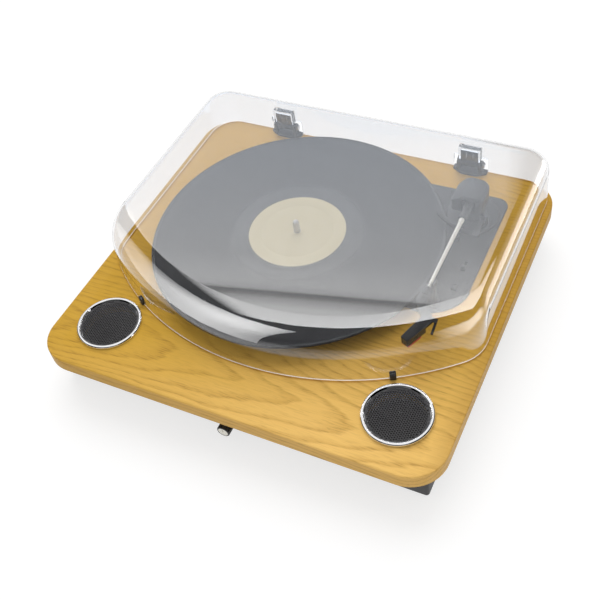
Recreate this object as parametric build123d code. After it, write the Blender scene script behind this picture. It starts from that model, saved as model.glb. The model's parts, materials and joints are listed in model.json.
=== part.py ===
from build123d import *
import math
import os

# Belt-driven record player with built-in stereo speakers and a hinged clear dust cover.
# Millimetres, +Z up, +X to the listener's right, +Y towards the cover's hinges. The origin is
# on the table under the middle of the plinth, level with the bottoms of the feet.

# Clearances
RUN = 0.05          # radial play of a shaft in its bearing
FIT = 0.1           # play of a fixed piece in its seat
GAP = 0.3           # air between pieces that pass or rest close to each other
LOOSE = 0.5         # play of a panel in its cut-out

# Plinth board, tray and feet
PLINTH_W = 412.0
PLINTH_D = 380.0
PLINTH_T = 16.0
PLINTH_CORNER_R = 35.0
PLINTH_EDGE_R = 1.2
TRAY_W = 387.0
TRAY_D = 346.0
TRAY_H = 32.0
TRAY_WALL = 2.5
TRAY_FLOOR = 2.5
TRAY_CORNER_R = 3.0
FOOT_R = 13.0
FOOT_H = 6.0
FOOT_TAPER = 1.5
FOOT_PLUG_R = 4.0
FOOT_INSET = 34.0
VENT_COUNT = 7
VENT_L = 46.0
VENT_W = 4.0
VENT_PITCH = 9.0
VENT_Y = 40.0

# Tray screws and their bosses
SCREW_R = 1.75
SCREW_HEAD_R = 3.4
SCREW_HEAD_H = 2.4
SCREW_BITE = 9.0
BOSS_R = 5.0
BOSS_INSET = 12.0
BOSS_SEAT = 5.0

# Loudspeakers
SPEAKER_INSET = 41.9
SPEAKER_SETBACK = 39.1
RING_R = 32.7
RING_H = 3.2
RING_LIP = 4.2
RING_EDGE = 0.8
RING_WALL = 2.0
RING_SPIGOT = 5.0
GRILLE_T = 0.8
GRILLE_RINGS = 5
GRILLE_PITCH = 4.9
GRILLE_HOLE_R = 1.9
BASKET_R = 34.0
BASKET_SHEET = 1.2
BASKET_DEPTH = 14.0
BASKET_COLLAR = 3.6
BASKET_MOUTH_R = 27.0
BASKET_BACK_R = 15.0
BASKET_SPOKE = 7.0
CONE_SHEET = 0.7
CONE_CAP_R = 8.0
CONE_DEPTH = 9.0
CONE_ROLL = 2.1
CONE_DOME = 2.0
MAGNET_R = 17.0
MAGNET_H = 8.0
SPEAKER_SCREW_R = 1.2
SPEAKER_SCREW_HEAD_R = 1.9
SPEAKER_SCREW_HEAD_H = 1.4
SPEAKER_SCREW_BITE = 6.0
SPEAKER_SCREW_PCR = 31.2
SPEAKER_SCREWS = 4
SPEAKER_SCREW_ANGLE = 45.0

# Deck plate
PLATE_T = 2.0
PLATE_EDGE_R = 0.8
PLATE_RIGHT_X = 164.5
PLATE_BACK_Y = 152.0
PLATE_FRONT_Y = -18.0
PLATE_FRONT_R = 40.0
PLATE_BACK_R = 12.0
PLATE_WAIST_R = 22.0
PLATE_FLANGE = 4.0
PLATE_SKIRT_T = 2.0
PLATE_SKIRT_H = 8.0
PLATE_RIB_T = 2.0
PLATE_RIB_L = 70.0
PLATE_RIB_ANGLES = (20.0, 70.0, 200.0, 250.0, 300.0)

# Spindle, bearing and platter
SPIN_X = -20.6
SPIN_Y = 28.6
SPINDLE_R = 3.55
SPINDLE_LEAD_R = 3.3
SPINDLE_RISE = 14.0
SPINDLE_TIP_H = 3.0
SPINDLE_NOSE_R = 2.8
SPINDLE_NOSE_H = 1.0
SPINDLE_POINT_R = 1.4
BUSH_R = 6.0
BUSH_DROP = 14.0
BUSH_WALL = 4.0
SPINDLE_DROP = 11.0
PLATTER_R = 105.0
PLATTER_H = 8.0
PLATTER_LIFT = 2.0
PLATTER_TOP_T = 2.5
PLATTER_SKIRT_T = 3.0
PLATTER_EDGE = 1.0
DRIVE_RING_INSET = 25.0
DRIVE_RING_T = 2.5
HUB_R = 10.0
MAT_INSET = 1.0
MAT_T = 2.0
MAT_RIBS = 4
MAT_RIB_DEPTH = 0.5
MAT_RIB_W = 3.0

# Record
RECORD_R = 150.8
RECORD_T = 2.0
RECORD_HOLE_R = 3.62
RECORD_BEAD = 3.0
GROOVE_DROP = 0.25
GROOVE_INNER_R = 58.0
LABEL_R = 50.0
LABEL_T = 0.15

# Motor, pulley and belt
MOTOR_ANGLE = 135.0
MOTOR_R = 16.0
MOTOR_H = 22.0
MOTOR_NECK_R = 5.0
MOTOR_EDGE = 1.0
MOTOR_SHAFT_R = 1.2
MOTOR_SHAFT_L = 12.0
GROMMET_R = 2.6
GROMMET_LIP_R = 4.0
GROMMET_LIP_T = 1.2
GROMMET_FOOT_T = 2.0
GROMMET_PCR = 12.0
GROMMETS = 3
PULLEY_R = 6.0
PULLEY_LIP = 1.2
PULLEY_LIP_T = 0.7
PULLEY_OFFSET = 11.0
BELT_T = 1.0
BELT_W = 3.4

# Tone arm
ARM_X = 135.0
ARM_Y = 118.0
ARM_H = 12.0
TUBE_R = 2.6
TUBE_WALL = 0.6
TUBE_FRONT_Y = -12.0
COLLAR_R = 4.3
COLLAR_EDGE = 1.0
COLLAR_FRONT_Y = 84.0
COLLAR_TAIL = 9.0
KNUCKLE_R = 5.5
PIVOT_PIN_R = 1.5
HOOD_LEFT = 18.5
HOOD_RIGHT = 14.0
HOOD_FRONT = 15.0
HOOD_BACK = 19.0
HOOD_RISE = 10.0
HOOD_DROP = 8.0
HOOD_BACK_R = 13.0
HOOD_FRONT_R = 4.0
HOOD_CROWN = 2.5
HOOD_FACET_W = 12.0
HOOD_FACET_DROP = 6.0
HOOD_ROOF = 2.6
HOOD_SLOT = 13.0
TURRET_R = 12.5
TURRET_SHAFT_R = 4.0
TURRET_SHAFT_L = 12.0
BASE_R = 27.0
BASE_H = 4.0
BASE_EDGE = 1.5
BASE_BOSS_R = 8.0
BASE_BOSS_L = 10.0

# Headshell, cartridge and stylus
NECK_W = 9.0
NECK_T = 5.0
NECK_SLEEVE_R = 3.6
NECK_OUT = 12.2
NECK_BEND_Y = -31.0
NECK_BEND_R = 6.0
SHELL_ANGLE = 21.0
SHELL_Y = -46.0
SHELL_L = 32.0
SHELL_W = 11.6
SHELL_NOSE_W = 8.2
SHELL_NOSE_R = 2.0
SHELL_T = 3.0
SHELL_EDGE_R = 0.8
LIFT_REACH = 1.0
LIFT_L = 12.0
LIFT_W = 2.2
LIFT_T = 1.4
LIFT_DROP = 5.0
CARTRIDGE_INSET = 0.4
CARTRIDGE_L = 23.0
CARTRIDGE_H = 6.4
CARTRIDGE_SETBACK = 0.8
STYLUS_L = 17.0
STYLUS_T = 2.0
STYLUS_NOSE = 1.5
TIP_R = 0.35
TIP_BACK = 4.0
TIP_CLEAR = 0.5

# Arm rest, lifter and cue lever
REST_Y = -6.0
REST_D = 6.0
REST_W = 8.0
REST_EAR_T = 2.6
REST_EAR_H = 7.0
REST_FOOT = 2.0
REST_FOOT_H = 3.0
LIFTER_R = 38.0
LIFTER_W = 4.0
LIFTER_T = 3.0
LIFTER_START_ANGLE = -5.0
LIFTER_END_ANGLE = 44.0
LIFTER_STEM_R = 2.0
LIFTER_STEM_ANGLE = 8.0
LIFTER_STEM_L = 34.0
LIFTER_BUSH_R = 4.0
LIFTER_BUSH_H = 5.0
LEVER_X = 15.0
LEVER_Y = -12.0
LEVER_W = 4.4
LEVER_T = 3.0
LEVER_L = 23.0
LEVER_H = 7.0
LEVER_PAD_W = 7.0
LEVER_PAD_L = 8.0
LEVER_EYE_R = 3.2
LEVER_PIN_R = 1.2
LEVER_EAR_T = 1.6

# Deck switches
SWITCH_X = 150.0
SPEED_Y = 45.0
STOP_Y = 17.5
SWITCH_W = 5.0
SWITCH_L = 6.0
SWITCH_H = 3.2
SWITCH_EDGE = 0.6
SWITCH_STEM_W = 2.4
SWITCH_STEM_L = 3.2
SWITCH_STEM_DROP = 6.0
SPEED_TRAVEL = 8.0
STOP_TRAVEL = 4.0
SWITCH_BODY_W = 9.0
SWITCH_BODY_H = 6.0
SWITCH_BODY_WALL = 2.0

# Volume control
KNOB_X = 0.0
KNOB_Z = 21.0
KNOB_R = 6.5
KNOB_L = 14.5
KNOB_COLLAR_L = 4.8
KNOB_CAP_T = 1.4
KNOB_CAP_INSET = 0.7
KNOB_FLUTES = 12
KNOB_FLUTE_R = 0.6
KNOB_POINTER_W = 1.0
KNOB_POINTER_DEPTH = 0.6
POT_SHAFT_R = 3.0
POT_SHAFT_L = 10.0
POT_BUSHING_R = 3.6
POT_W = 17.0
POT_T = 9.0

# Circuit board and rear sockets
BOARD_W = 110.0
BOARD_D = 58.0
BOARD_T = 1.6
BOARD_X = -70.0
BOARD_SETBACK = 6.0
CHIP_W = 19.0
CHIP_D = 14.0
CHIP_SETBACK = 38.0
CAPACITOR_X = 36.0
STANDOFF_R = 3.2
STANDOFF_H = 5.5
STANDOFF_INSET = 6.0
SOCKET_H = 6.5
SOCKET_BODY_H = 13.0
RCA_X = (-112.0, -96.0)
RCA_R = 4.15
RCA_WALL = 0.8
RCA_L = 9.0
RCA_BODY_W = 11.0
RCA_CORE_R = 3.2
RCA_PIN_BORE_R = 1.7
AUX_X = -70.0
AUX_R = 4.0
AUX_BORE_R = 1.8
AUX_L = 3.0
AUX_BODY_W = 10.0
AUX_DEPTH = 14.0
POWER_X = -36.0
POWER_R = 5.5
POWER_BORE_R = 2.8
POWER_PIN_R = 1.05
POWER_L = 3.0
POWER_BODY_W = 12.0
POWER_DEPTH = 10.0
SOCKET_NUT_R = 6.5
SOCKET_NUT_T = 1.5

# Dust cover
COVER_W = 399.0
COVER_FRONT_Y = -134.0
COVER_ARC_R = 278.0
COVER_RIM_GAP = 1.5
COVER_H = 51.5
COVER_WALL = 2.2
COVER_DRAFT_ANGLE = 2.0
COVER_SIDE_ROLL_R = 14.0
COVER_FRONT_ROLL_R = 30.0
COVER_LEVELS = 9
COVER_FRONT_R = 38.0
COVER_BACK_R = 30.0
BUMPER_X = 134.0
BUMPER_W = 6.0
BUMPER_T = 5.6
BUMPER_H = 8.5
BUMPER_EDGE_R = 1.1

# Cover hinges
HINGE_X = 110.0
HINGE_IN = 5.0
HINGE_H = 12.0
HINGE_FOOT_W = 37.0
HINGE_FOOT_NOSE_W = 16.0
HINGE_FOOT_D = 12.0
HINGE_FOOT_T = 3.0
HINGE_FOOT_EDGE = 0.7
HINGE_EAR_T = 3.8
HINGE_EAR_R = 4.5
HINGE_PIN_R = 1.6
HINGE_HEAD_R = 3.0
HINGE_HEAD_L = 2.6
TONGUE_W = 19.0
TONGUE_T = 3.0
TONGUE_H = 18.0
TONGUE_BACK = 0.5
TONGUE_EYE_R = 4.0
TONGUE_SLOT = 1.2
TONGUE_TAB_W = 6.0
TONGUE_TAB_H = 7.0
TONGUE_TAB_Z = 7.5
POCKET_WALL = 2.2
POCKET_DROP = 6.5
POCKET_HEAD = 4.0

# Heights of the stack
TRAY_Z = FOOT_H
FLOOR_Z = TRAY_Z + TRAY_FLOOR
PLINTH_Z = TRAY_Z + TRAY_H
DECK_Z = PLINTH_Z + PLINTH_T
PLATE_Z = DECK_Z + PLATE_T
PLATTER_Z = PLATE_Z + PLATTER_LIFT
MAT_Z = PLATTER_Z + PLATTER_H
RECORD_Z = MAT_Z + MAT_T
RECORD_TOP = RECORD_Z + RECORD_T
LABEL_Z = RECORD_TOP - LABEL_T
ARM_Z = RECORD_TOP + ARM_H
BASE_TOP = PLATE_Z + BASE_H
COVER_Z = DECK_Z + COVER_RIM_GAP
HINGE_Y = PLINTH_D / 2 - HINGE_IN
HINGE_Z = DECK_Z + HINGE_H
BOARD_Z = FLOOR_Z + STANDOFF_H
SOCKET_Z = BOARD_Z + BOARD_T + SOCKET_H
TRAY_FRONT_Y = -TRAY_D / 2
TRAY_BACK_Y = TRAY_D / 2
SPEAKER_X = TRAY_W / 2 - SPEAKER_INSET
SPEAKER_Y = TRAY_FRONT_Y + SPEAKER_SETBACK
DRIVE_RING_R = PLATTER_R - DRIVE_RING_INSET
MOTOR_PCR = DRIVE_RING_R + PULLEY_OFFSET
MOTOR_X = SPIN_X + MOTOR_PCR * math.cos(math.radians(MOTOR_ANGLE))
MOTOR_Y = SPIN_Y + MOTOR_PCR * math.sin(math.radians(MOTOR_ANGLE))
MOTOR_TOP = DECK_Z - GROMMET_FOOT_T
PULLEY_TOP = PLATTER_Z + PLATTER_H - PLATTER_TOP_T - LOOSE
PULLEY_Z = PLATE_Z + LOOSE
BELT_Z = (PULLEY_Z + PULLEY_TOP - BELT_W) / 2

BOTTOM = (Align.CENTER, Align.CENTER, Align.MIN)
SIDES = {"left": -1, "right": 1}
ENDS = {"front": -1, "rear": 1}


# Shape helpers
def turned(*points):
    """Solid turned about Z from (radius, height) points."""
    return revolve(Plane.XZ * make_face(Polyline(*points, close=True)), Axis.Z)


def rod(radius, low, high):
    return Pos(0, 0, low) * Cylinder(radius, high - low, align=BOTTOM)


def tube(outer, inner, low, high):
    return rod(outer, low, high) - rod(inner, low, high)


def block(x_span, y_span, z_span):
    spans = (x_span, y_span, z_span)
    middle = [(low + high) / 2 for low, high in spans]
    size = [high - low for low, high in spans]
    return Pos(*middle) * Box(*size)


def prism(sketch, low, high):
    return Pos(0, 0, low) * extrude(sketch, high - low, dir=(0, 0, 1))


def centred(middle, width):
    return (middle - width / 2, middle + width / 2)


def around(count, radius, start=0.0):
    """Evenly spaced (x, y) places on a circle."""
    angles = [math.radians(start + 360.0 * i / count) for i in range(count)]
    return [(radius * math.cos(a), radius * math.sin(a)) for a in angles]


def facing_front(x, y, z):
    """Place whose local Z points out of the front."""
    return Pos(x, y, z) * Rot(90, 0, 0)


def facing_back(x, y, z):
    """Place whose local Z points out of the back."""
    return Pos(x, y, z) * Rot(-90, 0, 0)


def facing_right(x, y, z):
    """Place whose local Z points to the right."""
    return Pos(x, y, z) * Rot(0, 90, 0)


# Places that more than one piece uses
def boss_places():
    x = TRAY_W / 2 - BOSS_INSET
    y = TRAY_D / 2 - BOSS_INSET
    return [(side * x, end * y) for side in SIDES.values() for end in (-1, 0, 1)]


def foot_place(side, end):
    return Pos(side * (TRAY_W / 2 - FOOT_INSET), end * (TRAY_D / 2 - FOOT_INSET), 0)


def speaker_place(side):
    return Pos(side * SPEAKER_X, SPEAKER_Y, 0)


def standoff_places():
    x = BOARD_W / 2 - STANDOFF_INSET
    y = BOARD_D / 2 - STANDOFF_INSET
    middle_y = TRAY_BACK_Y - TRAY_WALL - BOARD_SETBACK - BOARD_D / 2
    return [(BOARD_X + sx * x, middle_y + sy * y) for sx in (-1, 1) for sy in (-1, 1)]


def plate_outline(inset=0.0):
    """Deck plate seen from above: a round well under the platter and a bay for the arm."""
    well_r = PLATE_BACK_Y - SPIN_Y
    bay_w = PLATE_RIGHT_X - SPIN_X
    bay_d = PLATE_BACK_Y - PLATE_FRONT_Y
    bay = Pos(SPIN_X + bay_w / 2, PLATE_FRONT_Y + bay_d / 2) * Rectangle(bay_w, bay_d)
    outline = Pos(SPIN_X, SPIN_Y) * Circle(well_r) + bay
    waist_x = SPIN_X + math.sqrt(well_r ** 2 - (SPIN_Y - PLATE_FRONT_Y) ** 2)
    corners = (
        ((waist_x, PLATE_FRONT_Y, 0), PLATE_WAIST_R),
        ((PLATE_RIGHT_X, PLATE_FRONT_Y, 0), PLATE_FRONT_R),
        ((PLATE_RIGHT_X, PLATE_BACK_Y, 0), PLATE_BACK_R),
    )
    for place, radius in corners:
        outline = fillet(outline.vertices().sort_by_distance(place)[0], radius)
    return offset(outline, -inset) if inset else outline


def lifter_point(angle, radius=LIFTER_R):
    """Point under the arm at a swing angle, measured inwards from the parked place."""
    turn = math.radians(angle)
    return (ARM_X - radius * math.sin(turn), ARM_Y - radius * math.cos(turn))


# Plinth, tray and feet
def plinth():
    board = prism(RectangleRounded(PLINTH_W, PLINTH_D, PLINTH_CORNER_R), PLINTH_Z, DECK_Z)
    rims = board.edges().group_by(Axis.Z)
    board = fillet(rims[0] + rims[-1], PLINTH_EDGE_R)
    board -= prism(plate_outline(PLATE_FLANGE - LOOSE), PLINTH_Z, DECK_Z)
    for side in SIDES.values():
        board -= speaker_place(side) * rod(RING_R - RING_LIP + FIT, PLINTH_Z, DECK_Z)
        for x, y in around(SPEAKER_SCREWS, SPEAKER_SCREW_PCR, SPEAKER_SCREW_ANGLE):
            hole = rod(SPEAKER_SCREW_R + RUN, PLINTH_Z, PLINTH_Z + SPEAKER_SCREW_BITE)
            board -= speaker_place(side) * Pos(x, y) * hole
    for x, y in boss_places():
        board -= Pos(x, y) * rod(SCREW_R + RUN, PLINTH_Z, PLINTH_Z + SCREW_BITE)
    return board


def base_tray():
    inner_w = TRAY_W - 2 * TRAY_WALL
    inner_d = TRAY_D - 2 * TRAY_WALL
    inner_r = max(TRAY_CORNER_R - TRAY_WALL, FIT)
    tray = prism(RectangleRounded(TRAY_W, TRAY_D, TRAY_CORNER_R), TRAY_Z, PLINTH_Z)
    tray -= prism(RectangleRounded(inner_w, inner_d, inner_r), FLOOR_Z, PLINTH_Z)
    for x, y in boss_places():
        tray += Pos(x, y) * rod(BOSS_R, TRAY_Z, PLINTH_Z)
        tray -= Pos(x, y) * rod(SCREW_R + FIT, TRAY_Z, PLINTH_Z)
        tray -= Pos(x, y) * rod(SCREW_HEAD_R + FIT, TRAY_Z, TRAY_Z + BOSS_SEAT)
    for x, y in standoff_places():
        tray += Pos(x, y) * rod(STANDOFF_R, TRAY_Z, BOARD_Z)
    for side in SIDES.values():
        for end in ENDS.values():
            tray -= foot_place(side, end) * rod(FOOT_PLUG_R + FIT, TRAY_Z, FLOOR_Z)
    for i in range(VENT_COUNT):
        y = VENT_Y - (i - (VENT_COUNT - 1) / 2) * VENT_PITCH
        tray -= prism(Pos(0, y) * SlotOverall(VENT_L, VENT_W), TRAY_Z, FLOOR_Z)
    tray -= facing_front(KNOB_X, TRAY_FRONT_Y + TRAY_WALL, KNOB_Z) * rod(POT_BUSHING_R + FIT, 0, TRAY_WALL)
    rear_holes = [(x, RCA_R) for x in RCA_X] + [(AUX_X, AUX_R), (POWER_X, POWER_R)]
    for x, radius in rear_holes:
        tray -= facing_back(x, TRAY_BACK_Y - TRAY_WALL, SOCKET_Z) * rod(radius + FIT, 0, TRAY_WALL)
    return tray


def foot():
    return turned(
        (0, 0), (FOOT_R - FOOT_TAPER, 0), (FOOT_R, FOOT_H), (FOOT_PLUG_R, FOOT_H),
        (FOOT_PLUG_R, FLOOR_Z), (0, FLOOR_Z),
    )


def tray_screws():
    seat = TRAY_Z + BOSS_SEAT
    screw = turned(
        (0, seat - SCREW_HEAD_H), (SCREW_HEAD_R, seat - SCREW_HEAD_H), (SCREW_HEAD_R, seat),
        (SCREW_R, seat), (SCREW_R, PLINTH_Z + SCREW_BITE - SCREW_R), (0, PLINTH_Z + SCREW_BITE),
    )
    return Compound(children=[Pos(x, y) * screw for x, y in boss_places()])


# Loudspeakers
def speaker_ring():
    inner = RING_R - RING_LIP
    seat = inner - RING_WALL
    crown_r = inner + RING_LIP / 2
    base = Polyline(
        (inner, DECK_Z), (inner, DECK_Z - RING_SPIGOT), (seat, DECK_Z - RING_SPIGOT), (seat, DECK_Z),
        (inner - FIT, DECK_Z), (inner - FIT, DECK_Z + GRILLE_T + RING_EDGE),
    )
    crown = ThreePointArc(
        (inner - FIT, DECK_Z + GRILLE_T + RING_EDGE), (crown_r, DECK_Z + RING_H),
        (RING_R, DECK_Z + RING_EDGE),
    )
    skirt = Polyline((RING_R, DECK_Z + RING_EDGE), (RING_R, DECK_Z), (inner, DECK_Z))
    return revolve(Plane.XZ * make_face([base, crown, skirt]), Axis.Z)


def speaker_grille():
    """Round sheet with hexagonal holes packed in rings about its middle."""
    radius = RING_R - RING_LIP - 2 * FIT
    sheet = Circle(radius)
    hole = RegularPolygon(GRILLE_HOLE_R, 6, rotation=30)
    places = []
    for row in range(-GRILLE_RINGS, GRILLE_RINGS + 1):
        for column in range(-GRILLE_RINGS, GRILLE_RINGS + 1):
            if abs(row + column) <= GRILLE_RINGS:
                places.append(((column + row / 2) * GRILLE_PITCH, row * GRILLE_PITCH * math.sqrt(3) / 2))
    holes = [Pos(x, y) * hole for x, y in places if math.hypot(x, y) + 2 * GRILLE_HOLE_R < radius]
    return prism(sheet - holes, DECK_Z, DECK_Z + GRILLE_T)


def speaker_basket():
    top = PLINTH_Z
    back = top - BASKET_DEPTH
    shell = turned(
        (BASKET_MOUTH_R, top), (BASKET_R, top), (BASKET_R, top - BASKET_SHEET),
        (BASKET_MOUTH_R + BASKET_SHEET, top - BASKET_SHEET),
        (BASKET_MOUTH_R + BASKET_SHEET, top - BASKET_COLLAR), (BASKET_BACK_R + BASKET_SHEET, back),
        (CONE_CAP_R, back), (CONE_CAP_R, back + BASKET_SHEET), (BASKET_BACK_R, back + BASKET_SHEET),
        (BASKET_MOUTH_R, top - BASKET_COLLAR),
    )
    floor = back + BASKET_SHEET
    opening = centred(0, 2 * BASKET_BACK_R - BASKET_SPOKE)
    window = block((0, BASKET_R), opening, (floor, top - BASKET_COLLAR))
    for i in range(SPEAKER_SCREWS):
        shell -= Rot(0, 0, 360.0 * i / SPEAKER_SCREWS) * window
    for x, y in around(SPEAKER_SCREWS, SPEAKER_SCREW_PCR, SPEAKER_SCREW_ANGLE):
        shell -= Pos(x, y) * rod(SPEAKER_SCREW_R + FIT, top - BASKET_SHEET, top)
    return shell


def speaker_cone():
    top = PLINTH_Z
    rim = BASKET_MOUTH_R - FIT
    apex = top - CONE_DEPTH
    roll = rim - CONE_ROLL
    return turned(
        (rim, top), (roll, top - CONE_SHEET), (CONE_CAP_R, apex), (0, apex + CONE_DOME),
        (0, apex + CONE_DOME - CONE_SHEET), (CONE_CAP_R, apex - CONE_SHEET),
        (roll, top - 2 * CONE_SHEET), (rim, top - CONE_SHEET),
    )


def speaker_magnet():
    """Magnet ring behind the basket, with the pole and voice coil that reach up to the cone."""
    back = PLINTH_Z - BASKET_DEPTH
    coil_r = CONE_CAP_R - FIT
    coil_top = PLINTH_Z - CONE_DEPTH - CONE_SHEET - FIT
    return turned(
        (0, back - MAGNET_H), (MAGNET_R, back - MAGNET_H), (MAGNET_R, back), (coil_r, back),
        (coil_r, coil_top), (0, coil_top),
    )


def speaker_screws():
    top = PLINTH_Z - BASKET_SHEET
    point = PLINTH_Z + SPEAKER_SCREW_BITE
    screw = turned(
        (0, top - SPEAKER_SCREW_HEAD_H), (SPEAKER_SCREW_HEAD_R, top - SPEAKER_SCREW_HEAD_H),
        (SPEAKER_SCREW_HEAD_R, top), (SPEAKER_SCREW_R, top), (SPEAKER_SCREW_R, point - SPEAKER_SCREW_R),
        (0, point),
    )
    screws = []
    for side in SIDES.values():
        for x, y in around(SPEAKER_SCREWS, SPEAKER_SCREW_PCR, SPEAKER_SCREW_ANGLE):
            screws.append(speaker_place(side) * Pos(x, y) * screw)
    return Compound(children=screws)


# Deck plate and what turns on it
def deck_plate():
    plate = prism(plate_outline(), DECK_Z, PLATE_Z)
    plate = fillet(plate.edges().group_by(Axis.Z)[-1], PLATE_EDGE_R)
    skirt = plate_outline(PLATE_FLANGE) - plate_outline(PLATE_FLANGE + PLATE_SKIRT_T)
    plate += prism(skirt, DECK_Z - PLATE_SKIRT_H, DECK_Z)
    hub = Pos(SPIN_X, SPIN_Y)
    for angle in PLATE_RIB_ANGLES:
        rib = block((BUSH_R, PLATE_RIB_L), centred(0, PLATE_RIB_T), (DECK_Z - PLATE_SKIRT_H, DECK_Z))
        plate += hub * Rot(0, 0, angle) * rib
    plate += hub * rod(BUSH_R + BUSH_WALL, DECK_Z - BUSH_DROP, DECK_Z)
    plate -= hub * rod(BUSH_R, DECK_Z - BUSH_DROP, PLATE_Z)
    plate -= Pos(MOTOR_X, MOTOR_Y) * rod(PULLEY_R + PULLEY_LIP + LOOSE, DECK_Z, PLATE_Z)
    for x, y in around(GROMMETS, GROMMET_PCR, MOTOR_ANGLE + 180.0):
        plate -= Pos(MOTOR_X + x, MOTOR_Y + y) * rod(GROMMET_R + RUN, DECK_Z, PLATE_Z)
    plate -= Pos(ARM_X, ARM_Y) * rod(BASE_BOSS_R + FIT, DECK_Z, PLATE_Z)
    stem_x, stem_y = lifter_point(LIFTER_STEM_ANGLE)
    guide = Pos(stem_x, stem_y)
    plate += guide * rod(LIFTER_BUSH_R, DECK_Z - PLATE_SKIRT_H, PLATE_Z + LIFTER_BUSH_H)
    plate -= guide * rod(LIFTER_STEM_R + RUN, DECK_Z - PLATE_SKIRT_H, PLATE_Z + LIFTER_BUSH_H)
    for y, travel in ((SPEED_Y, SPEED_TRAVEL), (STOP_Y, STOP_TRAVEL)):
        slot_y = (y - SWITCH_STEM_L / 2 - GAP, y + SWITCH_STEM_L / 2 + travel + GAP)
        box_y = (slot_y[0] - SWITCH_BODY_WALL, slot_y[1] + SWITCH_BODY_WALL)
        low = DECK_Z - SWITCH_BODY_H
        plate += block(centred(SWITCH_X, SWITCH_BODY_W), box_y, (low, DECK_Z))
        plate -= block(centred(SWITCH_X, SWITCH_STEM_W + 2 * GAP), slot_y, (low, PLATE_Z))
    return plate


def bearing_bush():
    low = DECK_Z - BUSH_DROP
    return Pos(SPIN_X, SPIN_Y) * tube(BUSH_R, SPINDLE_R + RUN, low, PLATTER_Z - GAP)


def spindle():
    """Shaft in the bearing and the platter, with a slightly slimmer end that leads a record on."""
    top = RECORD_TOP + SPINDLE_RISE
    step = RECORD_TOP + GAP
    return Pos(SPIN_X, SPIN_Y) * turned(
        (0, DECK_Z - SPINDLE_DROP), (SPINDLE_R, DECK_Z - SPINDLE_DROP), (SPINDLE_R, step),
        (SPINDLE_LEAD_R, step), (SPINDLE_LEAD_R, top - SPINDLE_TIP_H), (SPINDLE_NOSE_R, top - SPINDLE_NOSE_H),
        (SPINDLE_POINT_R, top), (0, top),
    )


def platter():
    low = PLATTER_Z
    top = MAT_Z
    under = top - PLATTER_TOP_T
    ring_in = DRIVE_RING_R - DRIVE_RING_T
    skirt_in = PLATTER_R - PLATTER_SKIRT_T
    bore = SPINDLE_R + RUN
    return Pos(SPIN_X, SPIN_Y) * turned(
        (bore, low), (HUB_R, low), (HUB_R, under), (ring_in, under), (ring_in, low), (DRIVE_RING_R, low),
        (DRIVE_RING_R, under), (skirt_in, under), (skirt_in, low), (PLATTER_R, low),
        (PLATTER_R, top - PLATTER_EDGE), (PLATTER_R - PLATTER_EDGE, top), (bore, top),
    )


def platter_mat():
    """Rubber mat with shallow ring grooves in its upper face."""
    radius = PLATTER_R - MAT_INSET
    top = RECORD_Z
    pitch = (radius - LABEL_R) / (MAT_RIBS + 1)
    profile = [(SPINDLE_R + FIT, MAT_Z), (radius, MAT_Z), (radius, top)]
    for i in range(MAT_RIBS):
        outer = radius - pitch * (i + 1) + MAT_RIB_W / 2
        profile += [(outer, top), (outer, top - MAT_RIB_DEPTH)]
        profile += [(outer - MAT_RIB_W, top - MAT_RIB_DEPTH), (outer - MAT_RIB_W, top)]
    return Pos(SPIN_X, SPIN_Y) * turned(*profile, (SPINDLE_R + FIT, top))


def record():
    """Pressed disc: raised label land and rim bead, with the grooved band a little lower."""
    groove = LABEL_Z - GROOVE_DROP
    land = GROOVE_INNER_R - (GROOVE_INNER_R - LABEL_R) / 2
    bead = RECORD_R - RECORD_BEAD
    middle = (RECORD_Z + LABEL_Z) / 2
    lip = GROOVE_DROP * 2
    return Pos(SPIN_X, SPIN_Y) * turned(
        (RECORD_HOLE_R, RECORD_Z), (RECORD_R - lip, RECORD_Z), (RECORD_R, middle - lip),
        (RECORD_R, middle + lip), (RECORD_R - lip, LABEL_Z), (bead + lip, LABEL_Z), (bead, groove),
        (GROOVE_INNER_R, groove), (land, LABEL_Z), (RECORD_HOLE_R, LABEL_Z),
    )


def record_label():
    return Pos(SPIN_X, SPIN_Y) * tube(LABEL_R, RECORD_HOLE_R, LABEL_Z, RECORD_TOP)


# Motor, pulley and belt
def drive_motor():
    low = MOTOR_TOP - MOTOR_H
    can = rod(MOTOR_R, low, MOTOR_TOP)
    can = chamfer(can.edges().group_by(Axis.Z)[0], MOTOR_EDGE)
    can += rod(MOTOR_NECK_R, MOTOR_TOP, DECK_Z)
    can -= rod(MOTOR_SHAFT_R + RUN, MOTOR_TOP - MOTOR_SHAFT_L, DECK_Z)
    return Pos(MOTOR_X, MOTOR_Y) * can


def motor_grommets():
    bush = turned(
        (0, MOTOR_TOP), (GROMMET_LIP_R, MOTOR_TOP), (GROMMET_LIP_R, DECK_Z), (GROMMET_R, DECK_Z),
        (GROMMET_R, PLATE_Z), (GROMMET_LIP_R, PLATE_Z), (GROMMET_LIP_R, PLATE_Z + GROMMET_LIP_T),
        (0, PLATE_Z + GROMMET_LIP_T),
    )
    places = around(GROMMETS, GROMMET_PCR, MOTOR_ANGLE + 180.0)
    return Compound(children=[Pos(MOTOR_X + x, MOTOR_Y + y) * bush for x, y in places])


def motor_pulley():
    lip = PULLEY_R + PULLEY_LIP
    shaft = MOTOR_TOP - MOTOR_SHAFT_L + GAP
    return Pos(MOTOR_X, MOTOR_Y) * turned(
        (0, shaft), (MOTOR_SHAFT_R, shaft), (MOTOR_SHAFT_R, PULLEY_Z), (lip, PULLEY_Z),
        (lip, PULLEY_Z + PULLEY_LIP_T), (PULLEY_R, PULLEY_Z + 2 * PULLEY_LIP_T),
        (PULLEY_R, PULLEY_TOP - 2 * PULLEY_LIP_T), (lip, PULLEY_TOP - PULLEY_LIP_T), (lip, PULLEY_TOP),
        (0, PULLEY_TOP),
    )


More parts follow.
